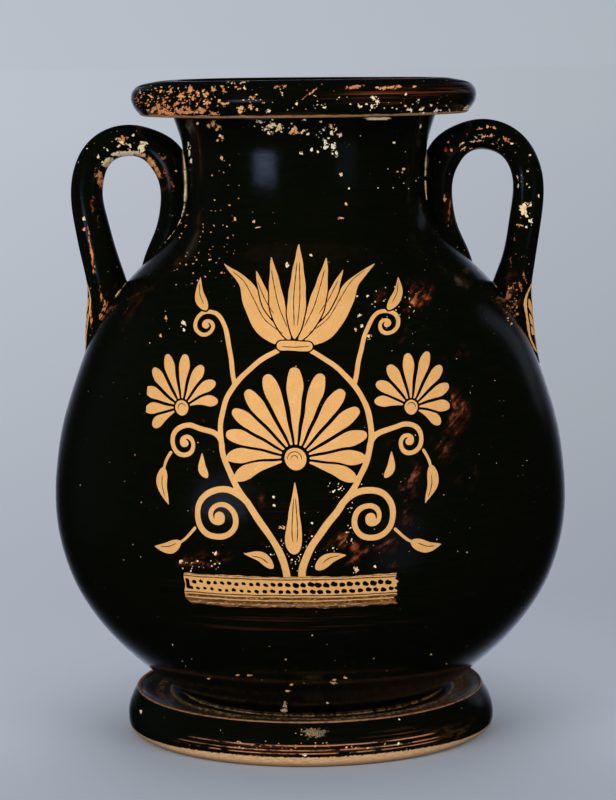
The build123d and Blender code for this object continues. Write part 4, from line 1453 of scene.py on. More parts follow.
class Net:
    """Short hand for node trees."""
    def __init__(self, name):
        self.mat = bpy.data.materials.new(name)
        self.mat.use_nodes = True
        self.tree = self.mat.node_tree
        self.tree.nodes.clear()
        self.out = self.node("ShaderNodeOutputMaterial")
        self.bsdf = self.node("ShaderNodeBsdfPrincipled")
        self.tree.links.new(self.bsdf.outputs["BSDF"], self.out.inputs["Surface"])
        tc = self.node("ShaderNodeTexCoord")
        self.P = self.vec("SCALE", tc.outputs["Object"], scale=1000.0)
        sep = self.node("ShaderNodeSeparateXYZ")
        self.tree.links.new(self.P, sep.inputs[0])
        self.x, self.y, self.z = sep.outputs
        self._r = None

    def node(self, kind, **props):
        n = self.tree.nodes.new(kind)
        for k, v in props.items():
            setattr(n, k, v)
        return n

    def put(self, sock, v):
        if isinstance(v, bpy.types.NodeSocket):
            self.tree.links.new(v, sock)
        else:
            sock.default_value = v

    def m(self, op, a, b=0.0, c=0.0, clamp=False):
        n = self.node("ShaderNodeMath", operation=op, use_clamp=clamp)
        self.put(n.inputs[0], a)
        self.put(n.inputs[1], b)
        self.put(n.inputs[2], c)
        return n.outputs[0]

    def vec(self, op, a, b=None, scale=None):
        n = self.node("ShaderNodeVectorMath", operation=op)
        self.put(n.inputs[0], a)
        if b is not None:
            self.put(n.inputs[1], b)
        if scale is not None:
            self.put(n.inputs["Scale"], scale)
        return n.outputs["Vector"]

    @property
    def r(self):
        if self._r is None:
            self._r = self.m("SQRT", self.m("ADD", self.m("MULTIPLY", self.x, self.x), self.m("MULTIPLY", self.y, self.y)))
        return self._r

    def at(self, sx=1.0, sy=1.0, sz=1.0, off=(0, 0, 0)):
        v = self.vec("MULTIPLY", self.P, (sx, sy, sz))
        return self.vec("ADD", v, off)

    def noise(self, vec, scale=1.0, detail=2.0, rough=0.5, distort=0.0):
        n = self.node("ShaderNodeTexNoise")
        self.put(n.inputs["Vector"], vec)
        n.inputs["Scale"].default_value = scale
        n.inputs["Detail"].default_value = detail
        n.inputs["Roughness"].default_value = rough
        n.inputs["Distortion"].default_value = distort
        return n.outputs[0]

    def cells(self, vec, scale, feature="F1", rand=1.0):
        n = self.node("ShaderNodeTexVoronoi", feature=feature)
        self.put(n.inputs["Vector"], vec)
        n.inputs["Scale"].default_value = scale
        n.inputs["Randomness"].default_value = rand
        sep = self.node("ShaderNodeSeparateColor")
        self.tree.links.new(n.outputs["Color"], sep.inputs[0])
        return n.outputs["Distance"], sep.outputs[0], sep.outputs[1], sep.outputs[2]

    def step(self, x, lo, hi):
        n = self.node("ShaderNodeMapRange", interpolation_type="SMOOTHSTEP")
        self.put(n.inputs["Value"], x)
        self.put(n.inputs["From Min"], lo)
        self.put(n.inputs["From Max"], hi)
        return n.outputs[0]

    def line(self, x, at, half, soft):
        """One within half of a value, fading over soft."""
        return self.step(self.m("ABSOLUTE", self.m("SUBTRACT", x, at)), half + soft, half)

    def mix(self, fac, a, b):
        n = self.node("ShaderNodeMix", data_type="RGBA")
        self.put(n.inputs[0], fac)
        self.put(n.inputs[6], a)
        self.put(n.inputs[7], b)
        return n.outputs[2]

    def mixf(self, fac, a, b):
        n = self.node("ShaderNodeMix", data_type="FLOAT")
        self.put(n.inputs[0], fac)
        self.put(n.inputs[2], a)
        self.put(n.inputs[3], b)
        return n.outputs[0]

    def ramp(self, x, stops):
        n = self.node("ShaderNodeValToRGB")
        self.put(n.inputs[0], x)
        el = n.color_ramp.elements
        while len(el) < len(stops):
            el.new(0.5)
        for e, (p, c) in zip(el, stops):
            e.position = p
            e.color = c
        return n.outputs[0]

    def attr(self, name):
        n = self.node("ShaderNodeAttribute", attribute_name=name)
        return n.outputs["Fac"]

    def bump(self, height_mm, strength=1.0):
        n = self.node("ShaderNodeBump")
        n.inputs["Strength"].default_value = strength
        n.inputs["Distance"].default_value = 0.001
        self.put(n.inputs["Height"], height_mm)
        self.put(self.bsdf.inputs["Normal"], n.outputs[0])

    def done(self, colour, rough, ior=1.5):
        self.put(self.bsdf.inputs["Base Color"], colour)
        self.put(self.bsdf.inputs["Roughness"], rough)
        self.bsdf.inputs["IOR"].default_value = ior
        return self.mat


BLACK = lin(9, 10, 4)
CLAY = lin(221, 167, 98)


def clay_colour(g, pale=0.0):
    """Fine fired clay: cloudy, grainy, with dark and pale grits."""
    cloud = g.noise(g.at(off=(7, 3, 1)), 0.16, 4.0, 0.6)
    grain = g.noise(g.at(off=(1, 9, 4)), 1.7, 3.0, 0.65)
    c = g.mix(g.step(cloud, 0.25, 0.75), lin(212, 155, 89), lin(236, 185, 117))
    c = g.mix(g.m("MULTIPLY", g.step(grain, 0.30, 0.72), 0.55), lin(211, 154, 88), c)
    c = g.mix(g.m("MULTIPLY", g.step(grain, 0.55, 0.80), 0.35), c, lin(240, 194, 128))
    d, r1, r2, r3 = g.cells(g.at(off=(3, 3, 3)), 0.55)
    rad = g.m("ADD", 0.05, g.m("MULTIPLY", r2, 0.10))
    grit = g.m("MULTIPLY", g.m("LESS_THAN", d, rad), g.m("GREATER_THAN", r1, 0.86))
    c = g.mix(g.m("MULTIPLY", grit, 0.62), c, g.mix(g.m("GREATER_THAN", r3, 0.35), lin(250, 222, 170), lin(132, 80, 40)))
    return c, cloud, grain


def flake_colour(g, tone):
    n = g.noise(g.at(off=(5, 5, 8)), 0.9, 3.0, 0.6)
    t = g.m("ADD", tone, g.m("MULTIPLY", g.m("SUBTRACT", n, 0.5), 0.9))
    low = g.mix(g.step(t, -0.6, 0.0), lin(128, 48, 26), lin(196, 120, 66))
    mid = g.mix(g.step(t, -0.05, 0.45), low, lin(222, 158, 96))
    top = g.mix(g.step(t, 0.45, 0.95), mid, lin(240, 218, 172))
    return g.mix(g.step(t, 1.1, 1.5), top, lin(206, 208, 196))


def gloss(name, extra=None, pin_base=0.05, mis_warm=1.0, brown=(64, 30, 15), amount=0.85):
    """Black gloss: brushed slip, thin or misfired in places, pitted, with lost flakes."""
    g = Net(name)
    a_mis, a_str, a_pin = g.attr("mis"), g.attr("streak"), g.attr("pin")
    a_rub, a_tone, a_res = g.attr("rub"), g.attr("rtone"), g.attr("reserve")
    # body colour: nearly black, a little browner or greyer by the brush load
    load = g.noise(g.at(0.10, 0.10, 0.75, (2, 1, 0)), 1.0, 4.0, 0.6)
    col = g.mix(g.step(load, 0.35, 0.80), lin(5, 7, 1.5), lin(10, 10, 3.5))
    # cloudy misfiring, through deep red-brown to orange
    n1 = g.noise(g.at(off=(11, 4, 2)), 0.060, 5.0, 0.62, 0.6)
    slant = g.node("ShaderNodeCombineXYZ")
    g.put(slant.inputs[0], g.m("MULTIPLY", g.m("ADD", g.x, g.z), 0.24))
    g.put(slant.inputs[1], g.m("MULTIPLY", g.m("SUBTRACT", g.x, g.z), 0.62))
    g.put(slant.inputs[2], g.m("MULTIPLY", g.y, 0.35))
    n2 = g.noise(slant.outputs[0], 0.42, 5.0, 0.70, 0.3)
    both_n = g.m("ADD", g.m("MULTIPLY", g.m("SUBTRACT", n1, 0.5), 2.2), g.m("MULTIPLY", g.m("SUBTRACT", n2, 0.5), 3.4))
    amt = g.m("MULTIPLY", a_mis, g.m("ADD", 0.36, both_n), clamp=True)
    col = g.mix(g.step(amt, 0.10, 0.46), col, lin(44, 18, 7))
    col = g.mix(g.step(amt, 0.34, 0.66), col, lin(118, 58, 24))
    col = g.mix(g.step(amt, 0.60, 0.95), col, lin(198, 124, 64))
    # brown lines left by the wheel-turned brush
    s1 = g.noise(g.at(0.012, 0.012, 1.05, (3, 3, 0)), 1.0, 4.0, 0.62)
    s2 = g.noise(g.at(0.05, 0.05, 2.6, (9, 1, 5)), 1.0, 3.0, 0.6)
    sv = g.m("ADD", g.m("MULTIPLY", s1, 0.72), g.m("MULTIPLY", s2, 0.28))
    st = g.m("MULTIPLY", g.step(sv, g.m("SUBTRACT", 0.57, g.m("MULTIPLY", a_str, 0.10)), 0.62), a_str, clamp=True)
    col = g.mix(g.m("MULTIPLY", st, amount), col, lin(*brown))
    st2 = g.m("MULTIPLY", g.step(sv, 0.60, 0.65), g.step(a_str, 0.66, 1.0))
    col = g.mix(g.m("MULTIPLY", st2, 0.7), col, lin(150, 86, 48))
    rough = g.mixf(g.step(g.noise(g.at(0.3, 0.3, 1.2, (0, 2, 2)), 0.5, 3.0, 0.6), 0.3, 0.8), 0.13, 0.22)
    rough = g.mixf(g.m("MULTIPLY", amt, 0.8), rough, 0.34)
    height = g.m("MULTIPLY", g.m("SUBTRACT", g.noise(g.at(0.05, 0.05, 1.15, (4, 0, 0)), 1.0, 3.0, 0.55), 0.5), 0.010)
    height = g.m("ADD", height, g.m("MULTIPLY", g.m("SUBTRACT", g.noise(g.at(off=(2, 2, 6)), 0.22, 2.0, 0.5), 0.5), 0.055))
    bare = None

    def lay(mask, colour, r=0.62, sink=0.05):
        nonlocal col, rough, height
        col = g.mix(mask, col, colour)
        rough = g.mixf(mask, rough, r)
        height = g.m("SUBTRACT", height, g.m("MULTIPLY", mask, sink))
    # rubbed places on the handles
    e = g.noise(g.at(1.0, 1.0, 0.6, (6, 6, 1)), 0.60, 5.0, 0.72, 0.6)
    e2 = g.noise(g.at(1.0, 1.0, 0.5, (1, 6, 6)), 1.9, 3.0, 0.65)
    ragged = g.m("ADD", g.m("MULTIPLY", g.m("SUBTRACT", e, 0.5), 2.6), g.m("MULTIPLY", g.m("SUBTRACT", e2, 0.5), 1.3))
    rub = g.step(g.m("ADD", g.m("MULTIPLY", a_rub, 0.92), ragged), 0.50, 0.60)
    rub = g.m("MULTIPLY", rub, g.step(a_rub, 0.04, 0.22))
    lay(rub, flake_colour(g, a_tone), 0.55, 0.04)
    if extra:
        extra(g, lay)
    # pinholes and specks
    for sc, base, lo, hi in ((0.42, pin_base * 0.5, 0.045, 0.150), (0.95, pin_base * 0.5, 0.07, 0.20)):
        d, r1, r2, r3 = g.cells(g.at(off=(sc * 9, 2, 5)), sc)
        rad = g.m("ADD", lo, g.m("MULTIPLY", g.m("POWER", r2, 5.0), hi - lo))
        share = g.m("SUBTRACT", 1.0, g.m("ADD", base, g.m("MULTIPLY", a_pin, 0.16)))
        hole = g.m("MULTIPLY", g.step(d, g.m("ADD", rad, 0.03), rad), g.m("GREATER_THAN", r1, share))
        lay(g.m("MULTIPLY", hole, 0.92), g.mix(r3, lin(140, 78, 42), lin(232, 204, 156)), 0.6, 0.05)
    # bare clay where the slip was never laid
    ev = g.noise(g.at(0.2, 0.2, 1.0, (8, 0, 0)), 0.7, 4.0, 0.6)
    res = g.step(g.m("ADD", a_res, g.m("MULTIPLY", g.m("SUBTRACT", ev, 0.5), 0.5)), 0.46, 0.54)
    cc, _, _ = clay_colour(g)
    lay(res, g.mix(0.35, cc, lin(176, 112, 64)), 0.75, 0.03)
    g.bump(height)
    return g.done(col, rough, 1.5)


def lip_extra(g, lay):
    n = g.noise(g.at(0.16, 0.16, 0.6, (1, 1, 1)), 1.0, 4.0, 0.6)
    n2 = g.noise(g.at(0.5, 0.5, 2.0, (4, 1, 1)), 1.0, 3.0, 0.6)
    zz = g.m("ADD", g.z, g.m("MULTIPLY", g.m("SUBTRACT", n, 0.5), 1.3))
    edge = g.m("MULTIPLY", g.step(zz, 266.15, 265.75), g.step(g.r, 68.0, 68.5))
    edge = g.m("MULTIPLY", edge, g.step(n2, 0.27, 0.42))
    lay(edge, g.mix(n2, lin(112, 72, 46), lin(196, 146, 102)), 0.6, 0.04)


def foot_extra(g, lay):
    n = g.noise(g.at(0.12, 0.12, 0.5, (1, 5, 1)), 1.0, 4.0, 0.6)
    n2 = g.noise(g.at(0.45, 0.45, 2.0, (4, 4, 1)), 1.0, 4.0, 0.65)
    wav = g.m("MULTIPLY", g.m("SUBTRACT", n, 0.5), 1.0)
    outer = g.step(g.r, 60.0, 62.0)
    # the arris round the dish
    edge = g.m("MULTIPLY", g.step(g.r, 73.4, 73.9), g.step(g.z, 18.02, 18.2))
    edge = g.m("MULTIPLY", edge, g.step(n2, 0.28, 0.50))
    lay(edge, g.mix(n2, lin(96, 52, 28), lin(188, 132, 90)), 0.55, 0.04)
    # the dish, gloss worn to olive brown on the right, and grey on the left as a painted sheen
    dish = g.m("MULTIPLY", g.step(g.r, 74.0, 73.4), g.step(g.z, 14.0, 14.6))
    # painted sheen: the left of the dish is tinted grey where a reflection lies; the brown on the right is worn gloss
    side = g.step(g.x, -8.0, 40.0)
    lay(g.m("MULTIPLY", dish, g.step(n2, 0.10, 0.62)), g.mix(side, lin(48, 45, 44), lin(112, 80, 54)), 0.26, 0.0)
    ring = g.m("MULTIPLY", g.m("MULTIPLY", g.line(g.m("ADD", g.r, wav), 66.5, 1.1, 1.0), dish), g.step(n2, 0.42, 0.60))
    lay(ring, lin(120, 84, 52), 0.35, 0.02)
    # brown showing through on the right of the side
    thin = g.m("MULTIPLY", g.line(g.x, 55.0, 7.0, 9.0), g.line(g.z, 7.6, 1.6, 3.0))
    thin = g.m("MULTIPLY", g.m("MULTIPLY", thin, g.step(n, 0.46, 0.66)), g.step(g.y, 0.0, -6.0))
    lay(g.m("MULTIPLY", thin, 0.42), lin(72, 46, 24), 0.26, 0.0)
    # an ochre film caught on the front of the side
    film = g.m("MULTIPLY", g.line(g.x, 0.8, 2.0, 6.5), g.line(g.z, 14.4, 0.6, 2.9))
    film = g.m("MULTIPLY", film, g.step(g.y, -60.0, -64.0))
    nf = g.noise(g.at(0.9, 0.9, 1.2, (3, 3, 9)), 0.75, 4.0, 0.7)
    nh = g.noise(g.at(off=(3, 9, 9)), 1.8, 3.0, 0.65)
    film = g.m("MULTIPLY", g.step(g.m("ADD", film, g.m("MULTIPLY", g.m("SUBTRACT", nf, 0.5), 2.6)), 0.66, 0.86), g.step(film, 0.05, 0.25))
    lay(film, g.mix(g.step(nh, 0.35, 0.68), lin(62, 52, 30), lin(142, 124, 92)), 0.6, -0.05)
    # lines scraped through the gloss on the side
    for z0, h, k in ((9.55, 0.15, .38), (7.65, 0.14, .41), (6.35, 0.12, .45)):
        zz = g.m("ADD", g.z, g.m("MULTIPLY", wav, 0.22))
        ln = g.m("MULTIPLY", g.m("MULTIPLY", g.line(zz, z0, h, 0.16), g.step(n, k - 0.02, k + 0.10)), g.step(g.r, 76.0, 76.6))
        ln = g.m("MULTIPLY", ln, g.step(g.attr("streak"), 0.22, 0.70))
        lay(ln, g.mix(n2, lin(128, 64, 32), lin(214, 150, 100)), 0.55, 0.05)
    # the reserved edge, with painted shade towards its rounded bottom and on its flanks
    zz = g.m("ADD", g.z, g.m("MULTIPLY", wav, 0.55))
    ragged = g.m("MULTIPLY", g.m("SUBTRACT", g.noise(g.at(off=(7, 2, 2)), 0.9, 4.0, 0.7), 0.5), 1.8)
    zz = g.m("ADD", zz, g.m("MULTIPLY", ragged, g.step(g.z, 3.2, 4.6)))
    # the slip comes lower down on the flanks than in front
    flank = g.m("MULTIPLY", g.step(g.m("ABSOLUTE", g.x), 30.0, 78.0), 1.5)
    band = g.m("MULTIPLY", g.step(g.m("ADD", zz, flank), 4.95, 4.6), outer)
    cc, cloud, grain = clay_colour(g)
    pale = g.mix(0.72, cc, g.mix(cloud, lin(192, 150, 106), lin(216, 178, 134)))
    # painted shade: the band darkens towards its rounded bottom edge
    pale = g.mix(g.m("MULTIPLY", g.step(g.z, 3.1, 1.2), 0.62), pale, lin(146, 110, 78))
    # painted shade: the band darkens on the flanks, which turn away from the light
    pale = g.mix(g.m("MULTIPLY", g.step(g.m("ABSOLUTE", g.x), 50.0, 78.0), 0.50), pale, lin(104, 80, 58))
    lay(band, g.mix(g.m("MULTIPLY", g.step(n2, 0.38, 0.68), 0.60), pale, lin(150, 108, 72)), 0.66, 0.03)
    # painted shade: the lowest rounding of the foot's side is darkened
    rim_shade = g.m("MULTIPLY", g.step(g.z, 0.9, 0.3), outer)
    lay(rim_shade, lin(126, 94, 64), 0.8, 0.0)


gloss_jar = gloss("gloss_jar")
gloss_lip = gloss("gloss_mouth", lip_extra, 0.06, 1.0, (92, 42, 20), 1.0)
gloss_foot = gloss("gloss_foot", foot_extra, 0.05)
gloss_rod = gloss("gloss_handles", None, 0.07)


def clay_plain(name):
    g = Net(name)
    c, cloud, grain = clay_colour(g)
    h = g.m("ADD", g.m("MULTIPLY", grain, 0.014), g.m("MULTIPLY", cloud, 0.02))
    g.bump(h, 0.8)
    return g.done(c, g.mixf(grain, 0.48, 0.62), 1.45)


def clay_band():
    """The ground band: thin brown lines ruled along it and the last dark brush strokes."""
    g = Net("clay_ground_band")
    c, cloud, grain = clay_colour(g)
    v, s = g.attr("ov"), g.attr("os")
    n = g.noise(g.at(0.10, 0.10, 0.4, (2, 0, 7)), 1.0, 4.0, 0.6)
    n2 = g.noise(g.at(0.55, 0.55, 1.6, (2, 5, 7)), 1.0, 3.0, 0.65)
    w = g.m("ADD", v, g.m("MULTIPLY", g.m("SUBTRACT", n, 0.5), 0.9))
    rough = g.mixf(grain, 0.48, 0.62)
    for at, half, soft, k, dark, amt in ((12.75, .19, .16, .34, lin(60, 30, 13), .95),
                                         (13.75, .14, .25, .44, lin(80, 42, 19), .8),
                                         (5.75, .19, .14, .28, lin(54, 28, 13), .95),
                                         (4.35, .36, .45, .37, lin(70, 36, 16), .97),
                                         (2.55, .52, .35, .36, lin(26, 13, 7), .97),
                                         (1.45, .20, .30, .43, lin(64, 32, 15), .9),
                                         (0.45, .48, .30, .36, lin(34, 16, 8), .97)):
        m = g.m("MULTIPLY", g.m("MULTIPLY", g.line(w, at, half, soft), g.step(n2, k - .1, k + .12)), amt)
        c = g.mix(m, c, dark)
        rough = g.mixf(m, rough, 0.3)
    warm = g.m("MULTIPLY", g.step(v, 5.2, 1.0), g.step(n, 0.35, 0.75))
    c = g.mix(g.m("MULTIPLY", warm, 0.6), c, lin(160, 98, 50))
    g.bump(g.m("MULTIPLY", grain, 0.014), 0.8)
    return g.done(c, rough, 1.45)


def flake_mat():
    g = Net("clay_lost_flakes")
    tone = g.attr("tone")
    c = flake_colour(g, tone)
    n = g.noise(g.at(off=(2, 2, 2)), 1.8, 4.0, 0.7)
    c = g.mix(g.m("MULTIPLY", g.step(n, 0.55, 0.75), 0.5), c, lin(150, 96, 52))
    g.bump(g.m("MULTIPLY", n, 0.05))
    return g.done(c, g.mixf(n, 0.55, 0.75), 1.45)


def worn_mat():
    """Gloss over the ridge at the foot's junction: dark, worn to golden brown along lines, with lighter flecks painted
    as highlights.
    """
    g = Net("worn_gloss_fillet")
    n = g.noise(g.at(0.10, 0.10, 0.8, (5, 0, 2)), 1.0, 4.0, 0.65)
    n2 = g.noise(g.at(0.6, 0.6, 1.2, (5, 3, 2)), 1.0, 4.0, 0.7)
    c = g.mix(g.step(n, 0.3, 0.7), lin(13, 12, 6), lin(34, 28, 17))
    # painted highlights: lighter golden flecks on the dark gloss
    c = g.mix(g.m("MULTIPLY", g.step(n2, 0.56, 0.74), 0.55), c, lin(96, 76, 48))
    rough = g.mixf(n2, 0.26, 0.5)
    # the dark turned groove, and the ochre dotted line above it
    gr = g.line(g.r, 56.9, 0.45, 0.35)
    c = g.mix(g.m("MULTIPLY", gr, 0.9), c, lin(12, 10, 5))
    dd = g.m("MULTIPLY", g.line(g.r, 55.6, 0.45, 0.3), g.step(n2, 0.44, 0.56))
    c = g.mix(dd, c, lin(150, 116, 70))
    c = g.mix(g.m("MULTIPLY", g.line(g.r, 61.5, 0.30, 0.3), g.step(n2, 0.42, 0.62)), c, lin(128, 96, 62))
    g.bump(g.m("MULTIPLY", n2, 0.05))
    return g.done(c, rough, 1.5)


def luting_mat():
    """Slurry at the handle joints: black gloss that has left the ridge in the wear field's places."""
    g = Net("clay_luting")
    a = g.attr("bare")
    n = g.noise(g.at(off=(1, 2, 2)), 0.5, 4.0, 0.65)
    n2 = g.noise(g.at(off=(1, 2, 9)), 1.6, 3.0, 0.65)
    n4 = g.noise(g.at(off=(7, 2, 2)), 1.15, 4.0, 0.70)
    m = g.m("ADD", g.m("MULTIPLY", g.m("SUBTRACT", n, 0.5), 1.7), g.m("MULTIPLY", g.m("SUBTRACT", n4, 0.5), 1.3))
    m = g.step(g.m("ADD", a, m), 0.46, 0.56)
    n3 = g.noise(g.at(1.0, 1.0, 0.35, (4, 2, 9)), 0.8, 4.0, 0.7)
    cream = g.mix(g.step(n2, 0.3, 0.7), lin(196, 158, 100), lin(236, 216, 166))
    cream = g.mix(g.m("MULTIPLY", g.step(n3, 0.50, 0.66), 0.85), cream, lin(110, 70, 34))
    c = g.mix(m, lin(7, 8, 3), cream)
    g.bump(g.m("MULTIPLY", n2, 0.08))
    return g.done(c, g.mixf(m, 0.2, 0.66), 1.48)


def ink_mat():
    g = Net("gloss_relief_lines")
    n = g.noise(g.at(off=(3, 1, 1)), 0.35, 3.0, 0.6)
    c = g.mix(g.step(n, 0.42, 0.72), lin(18, 12, 6), lin(58, 32, 14))
    g.bump(g.m("MULTIPLY", g.noise(g.at(off=(1, 1, 1)), 1.5, 2.0, 0.5), 0.02))
    return g.done(c, g.mixf(n, 0.2, 0.36), 1.5)


clay = clay_plain("clay_reserved")
band_clay = clay_band()
flake_clay = flake_mat()
luting = luting_mat()


def wear(ob, *mats):
    ob.data.materials.clear()
    for mm in mats:
        ob.data.materials.append(mm)


wear(jar, gloss_jar)
wear(lip, gloss_lip)
wear(foot, gloss_foot)
wear(fillet, worn_mat())
wear(handles["left"], gloss_rod)
wear(handles["right"], gloss_rod)
wear(orn, clay)
wear(pal_l, clay)
wear(pal_r, clay)
wear(band, band_clay)
wear(orn_ink, ink_mat())
wear(flakes, flake_clay)
wear(flakes_b, flake_clay)
for side, word in ((-1, "left"), (1, "right")):
    for where in ("neck", "shoulder"):
        ob = handles.get(where + word)
        if ob is None:
            continue
        P = coords(ob)
        x, y, _ = seen_at(P)
        if where == "neck":
            b = smoothstep(262, 235, y) * (0.50 + 0.16 * smoothstep(215, 185, y)) if side < 0 else 0.80 * (y < 176) + 0.95 * ((y >= 181) & (y < 199))
            b = b * np.where(P[:, 1] < 1, 1.0, 0.55)
        else:
            b = 0.55 * smoothstep(302, 296, y) if side < 0 else 0.35 * smoothstep(300, 292, y)
        add_attr(ob, "bare", b * np.ones(len(P)))
        wear(ob, luting)

# ------------------------------------------------------------------ floor, light, sky
def build_floor():
    seg, radii = 96, [0.0, 0.1, 0.2, 0.35, 0.6, 1.0, 1.6, 2.6, 4.5, 8.0, 14.0, 24.0, 40.0]
    V, F = [(0, 0, 0)], []
    for r in radii[1:]:
        for i in range(seg):
            a = 2 * math.pi * i / seg
            V.append((r * math.cos(a), r * math.sin(a), 0))
    for i in range(seg):
        F.append((0, 1 + i, 1 + (i + 1) % seg))
    for k in range(len(radii) - 2):
        for i in range(seg):
            a, b = 1 + k * seg + i, 1 + k * seg + (i + 1) % seg
            F.append((a, a + seg, b + seg, b))
    me = bpy.data.meshes.new("floor")
    me.from_pydata(V, [], F)
    ob = bpy.data.objects.new("floor", me)
    scene.collection.objects.link(ob)
    return ob


floor = build_floor()
g = Net("pale_paper")
r_m = g.m("MULTIPLY", g.r, 0.001)
# painted light: the far floor glows, darker near the pot and lighter far off
floor_glow = g.ramp(g.m("DIVIDE", g.m("LOGARITHM", g.m("ADD", 1.0, g.m("MULTIPLY", r_m, 4.0)), math.e), 4.0),
              [(0.0, lin(158, 165, 175)), (0.25, lin(163, 169, 181)), (0.42, lin(171, 177, 186)),
               (0.62, lin(177, 183, 193)), (0.93, lin(181, 188, 197))])
# the light falls off a little from left to right
slope = g.m("DIVIDE", g.m("MULTIPLY", g.x, 0.001), g.m("ADD", 0.118, g.m("MULTIPLY", r_m, 0.10)))
slope = g.m("MAXIMUM", g.m("MINIMUM", slope, 1.6), -1.6)
fall = g.node("ShaderNodeVectorMath", operation="SCALE")
g.put(fall.inputs[0], floor_glow)
g.put(fall.inputs["Scale"], g.m("SUBTRACT", 1.0, g.m("MULTIPLY", slope, 0.078)))
floor_glow = fall.outputs[0]
n = g.noise(g.at(off=(1, 1, 0)), 0.6, 3.0, 0.6)
base = g.mix(g.m("MULTIPLY", n, 0.05), lin(184, 191, 202), lin(168, 174, 185))
# painted shade: the lit floor is darker towards the front and lighter behind the pot
deep = g.m("DIVIDE", g.m("ADD", g.m("MULTIPLY", g.y, 0.001), 0.035), 0.085)
deep = g.m("MAXIMUM", g.m("MINIMUM", deep, 1.0), -1.0)
front_shade = g.node("ShaderNodeVectorMath", operation="SCALE")
g.put(front_shade.inputs[0], base)
g.put(front_shade.inputs["Scale"], g.m("ADD", 1.0, g.m("MULTIPLY", deep, 0.13)))
base = front_shade.outputs[0]
g.bsdf.inputs["Roughness"].default_value = 0.9
g.bsdf.inputs["Specular IOR Level"].default_value = 0.1
g.put(g.bsdf.inputs["Base Color"], base)
# painted light: past the pot's surroundings the floor is emission, glowing in place of lit paper
em = g.node("ShaderNodeEmission")
g.put(em.inputs["Color"], floor_glow)
em.inputs["Strength"].default_value = 1.0
mx = g.node("ShaderNodeMixShader")
g.put(mx.inputs[0], g.step(r_m, 0.07, 0.33))
g.tree.links.new(g.bsdf.outputs[0], mx.inputs[1])
g.tree.links.new(em.outputs[0], mx.inputs[2])
g.tree.links.new(mx.outputs[0], g.out.inputs["Surface"])
floor.data.materials.append(g.mat)
floor.visible_glossy = False
floor.visible_diffuse = True


def softbox(name, az, el, dist, w, h, power, colour=(1, 1, 1), target=(0, 0, 0.14)):
    """Azimuth from the camera's side towards +X, elevation, in degrees."""
    ld = bpy.data.lights.new(name, "AREA")
    ld.shape = "RECTANGLE"
    ld.size, ld.size_y = w, h
    ld.energy = power
    ld.color = colour
    ob = bpy.data.objects.new(name, ld)
    scene.collection.objects.link(ob)
    a, e = math.radians(az), math.radians(el)
    t = Vector(target)
    p = t + Vector((math.sin(a) * math.cos(e), -math.cos(a) * math.cos(e), math.sin(e))) * dist
    ob.location = p
    ob.rotation_euler = (t - p).to_track_quat("-Z", "Y").to_euler()
    ob.visible_glossy = False
    return ob


softbox("key_left", -41, 14, 1.7, 1.0, 1.3, 21.0)
softbox("key_right", 41, 12, 1.7, 1.0, 1.3, 17.0)
softbox("top_fill", 0, 78, 1.5, 1.2, 1.2, 5.0)
softbox("back_fill", 180, 35, 1.9, 1.4, 1.2, 13.0)

# a small window of light low on the left, seen only in the gloss
pane = bpy.data.lights.new("pane_left", "AREA")
pane.shape, pane.size, pane.size_y = "RECTANGLE", 0.205, 0.110
pane.energy, pane.color, pane.spread = 0.0078, (0.48, 0.61, 1.0), math.radians(44)
pane_ob = bpy.data.objects.new("pane_left", pane)
scene.collection.objects.link(pane_ob)
pane_ob.location = (-0.313, -0.430, 0.150)
pane_ob.rotation_euler = (Vector((-0.018, -0.048, 0.262)) - pane_ob.location).to_track_quat("-Z", "Y").to_euler()
pane_ob.visible_camera = pane_ob.visible_diffuse = False

world = bpy.data.worlds.new("studio")
scene.world = world
world.use_nodes = True
wt = world.node_tree
wt.nodes.clear()


class WorldNet(Net):
    def __init__(self, tree):
        self.tree = tree
        self.out = self.node("ShaderNodeOutputWorld")
        tc = self.node("ShaderNodeTexCoord")
        self.P = self.vec("NORMALIZE", tc.outputs["Generated"])
        sep = self.node("ShaderNodeSeparateXYZ")
        self.tree.links.new(self.P, sep.inputs[0])
        self.x, self.y, self.z = sep.outputs
        self._r = None


w = WorldNet(wt)
deg = 180.0 / math.pi
elev = w.m("MULTIPLY", w.m("ARCSINE", w.z), deg)
az_b = w.m("MULTIPLY", w.m("ARCTAN2", w.x, w.y), deg)                            # from +Y, towards +X
az_f = w.m("MULTIPLY", w.m("ARCTAN2", w.x, w.m("MULTIPLY", w.y, -1.0)), deg)     # from -Y, towards +X


def bell(x, at, width):
    q = w.m("DIVIDE", w.m("SUBTRACT", x, at), width)
    return w.m("POWER", math.e, w.m("MULTIPLY", w.m("MULTIPLY", q, q), -1.0))


def box_window(az, a0, half, soft, e0, eh, esoft):
    return w.m("MULTIPLY", w.line(az, a0, half, soft), w.line(elev, e0, eh, esoft))


# what the eye sees behind the object
back = w.ramp(w.m("ADD", 0.5, w.m("MULTIPLY", elev, 0.02)),
              [(0.0, lin(181, 188, 197)), (0.5, lin(180, 188, 197)), (0.62, lin(176, 184, 193)), (1.0, lin(168, 176, 186))])
sky = w.node("ShaderNodeVectorMath", operation="SCALE")
w.put(sky.inputs[0], back)
w.put(sky.inputs["Scale"], w.m("SUBTRACT", 1.0, w.m("MULTIPLY", w.m("MAXIMUM", w.m("MINIMUM", w.x, 0.3), -0.3), 0.55)))
back = sky.outputs[0]
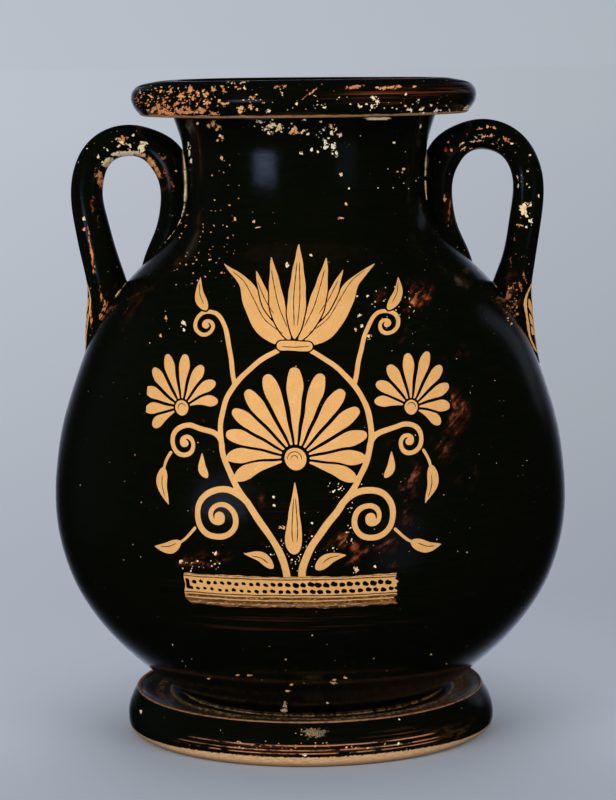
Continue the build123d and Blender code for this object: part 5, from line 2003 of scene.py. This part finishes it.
# what the gloss reflects: a dark room, the lit backdrop behind, dim windows of light
pos = w.m("MAXIMUM", elev, 0.0)
steep = w.m("ADD", 0.0083, w.m("MULTIPLY", w.step(w.m("ABSOLUTE", az_b), 10.0, 4.0), 0.11))
up = w.m("MULTIPLY", w.m("MULTIPLY", pos, pos), steep)
wide = w.m("ADD", 13.8, w.m("MULTIPLY", w.step(elev, -7.5, -3.0), 2.6))
wide = w.m("ADD", wide, w.m("MULTIPLY", w.step(elev, -15.0, -30.0), 1.2))
off_axis = w.m("DIVIDE", w.m("ABSOLUTE", w.m("SUBTRACT", az_b, 1.3)), wide)
lum = w.m("POWER", math.e, w.m("MULTIPLY", w.m("ADD", w.m("POWER", off_axis, 2.2), up), -1.0))
lum = w.m("MULTIPLY", w.m("MINIMUM", w.m("MULTIPLY", lum, 0.95), 0.62), w.step(elev, -70.0, -38.0))
lum = w.m("ADD", lum, w.m("MULTIPLY", box_window(az_b, 22.5, 5.0, 5.0, 8.0, 5.0, 5.0), 0.08))
lean = w.m("SUBTRACT", az_b, w.m("MULTIPLY", w.m("SUBTRACT", elev, 5.0), 0.62))     # a tall window's leaning edge
lum = w.m("ADD", lum, w.m("MULTIPLY", box_window(lean, 38.5, 3.0, 4.5, 15.0, 8.0, 7.0), 0.12))
lum = w.m("ADD", lum, w.m("MULTIPLY", box_window(az_b, -24.0, 3.0, 5.0, 19.0, 4.0, 6.0), 0.05))
lum = w.m("ADD", lum, w.m("MULTIPLY", box_window(az_b, -70.0, 10.0, 20.0, 10.0, 14.0, 20.0), 0.015))
win = w.m("MULTIPLY", box_window(az_f, 40.0, 6.0, 8.0, -16.0, 9.0, 8.0), 0.11)
tone_a = w.node("ShaderNodeVectorMath", operation="SCALE")
tone_a.inputs[0].default_value = (0.72, 0.83, 1.08)
w.put(tone_a.inputs["Scale"], w.m("ADD", lum, 0.004))
tone_b = w.node("ShaderNodeVectorMath", operation="SCALE")
tone_b.inputs[0].default_value = (0.50, 0.62, 1.02)
w.put(tone_b.inputs["Scale"], win)
refl = w.node("ShaderNodeVectorMath", operation="ADD")
w.put(refl.inputs[0], tone_a.outputs[0])
w.put(refl.inputs[1], tone_b.outputs[0])

lp = w.node("ShaderNodeLightPath")
bg_cam, bg_gl, bg_df = (w.node("ShaderNodeBackground") for _ in range(3))
w.put(bg_cam.inputs["Color"], back)
w.put(bg_gl.inputs["Color"], refl.outputs[0])
bg_df.inputs["Color"].default_value = (0.86, 0.92, 1.0, 1)
bg_df.inputs["Strength"].default_value = 0.30
m1, m2 = w.node("ShaderNodeMixShader"), w.node("ShaderNodeMixShader")
w.put(m1.inputs[0], lp.outputs["Is Glossy Ray"])
wt.links.new(bg_df.outputs[0], m1.inputs[1])
wt.links.new(bg_gl.outputs[0], m1.inputs[2])
w.put(m2.inputs[0], lp.outputs["Is Camera Ray"])
wt.links.new(m1.outputs[0], m2.inputs[1])
wt.links.new(bg_cam.outputs[0], m2.inputs[2])
wt.links.new(m2.outputs[0], w.out.inputs["Surface"])

scene.view_settings.view_transform = "Standard"
scene.view_settings.look = "None"
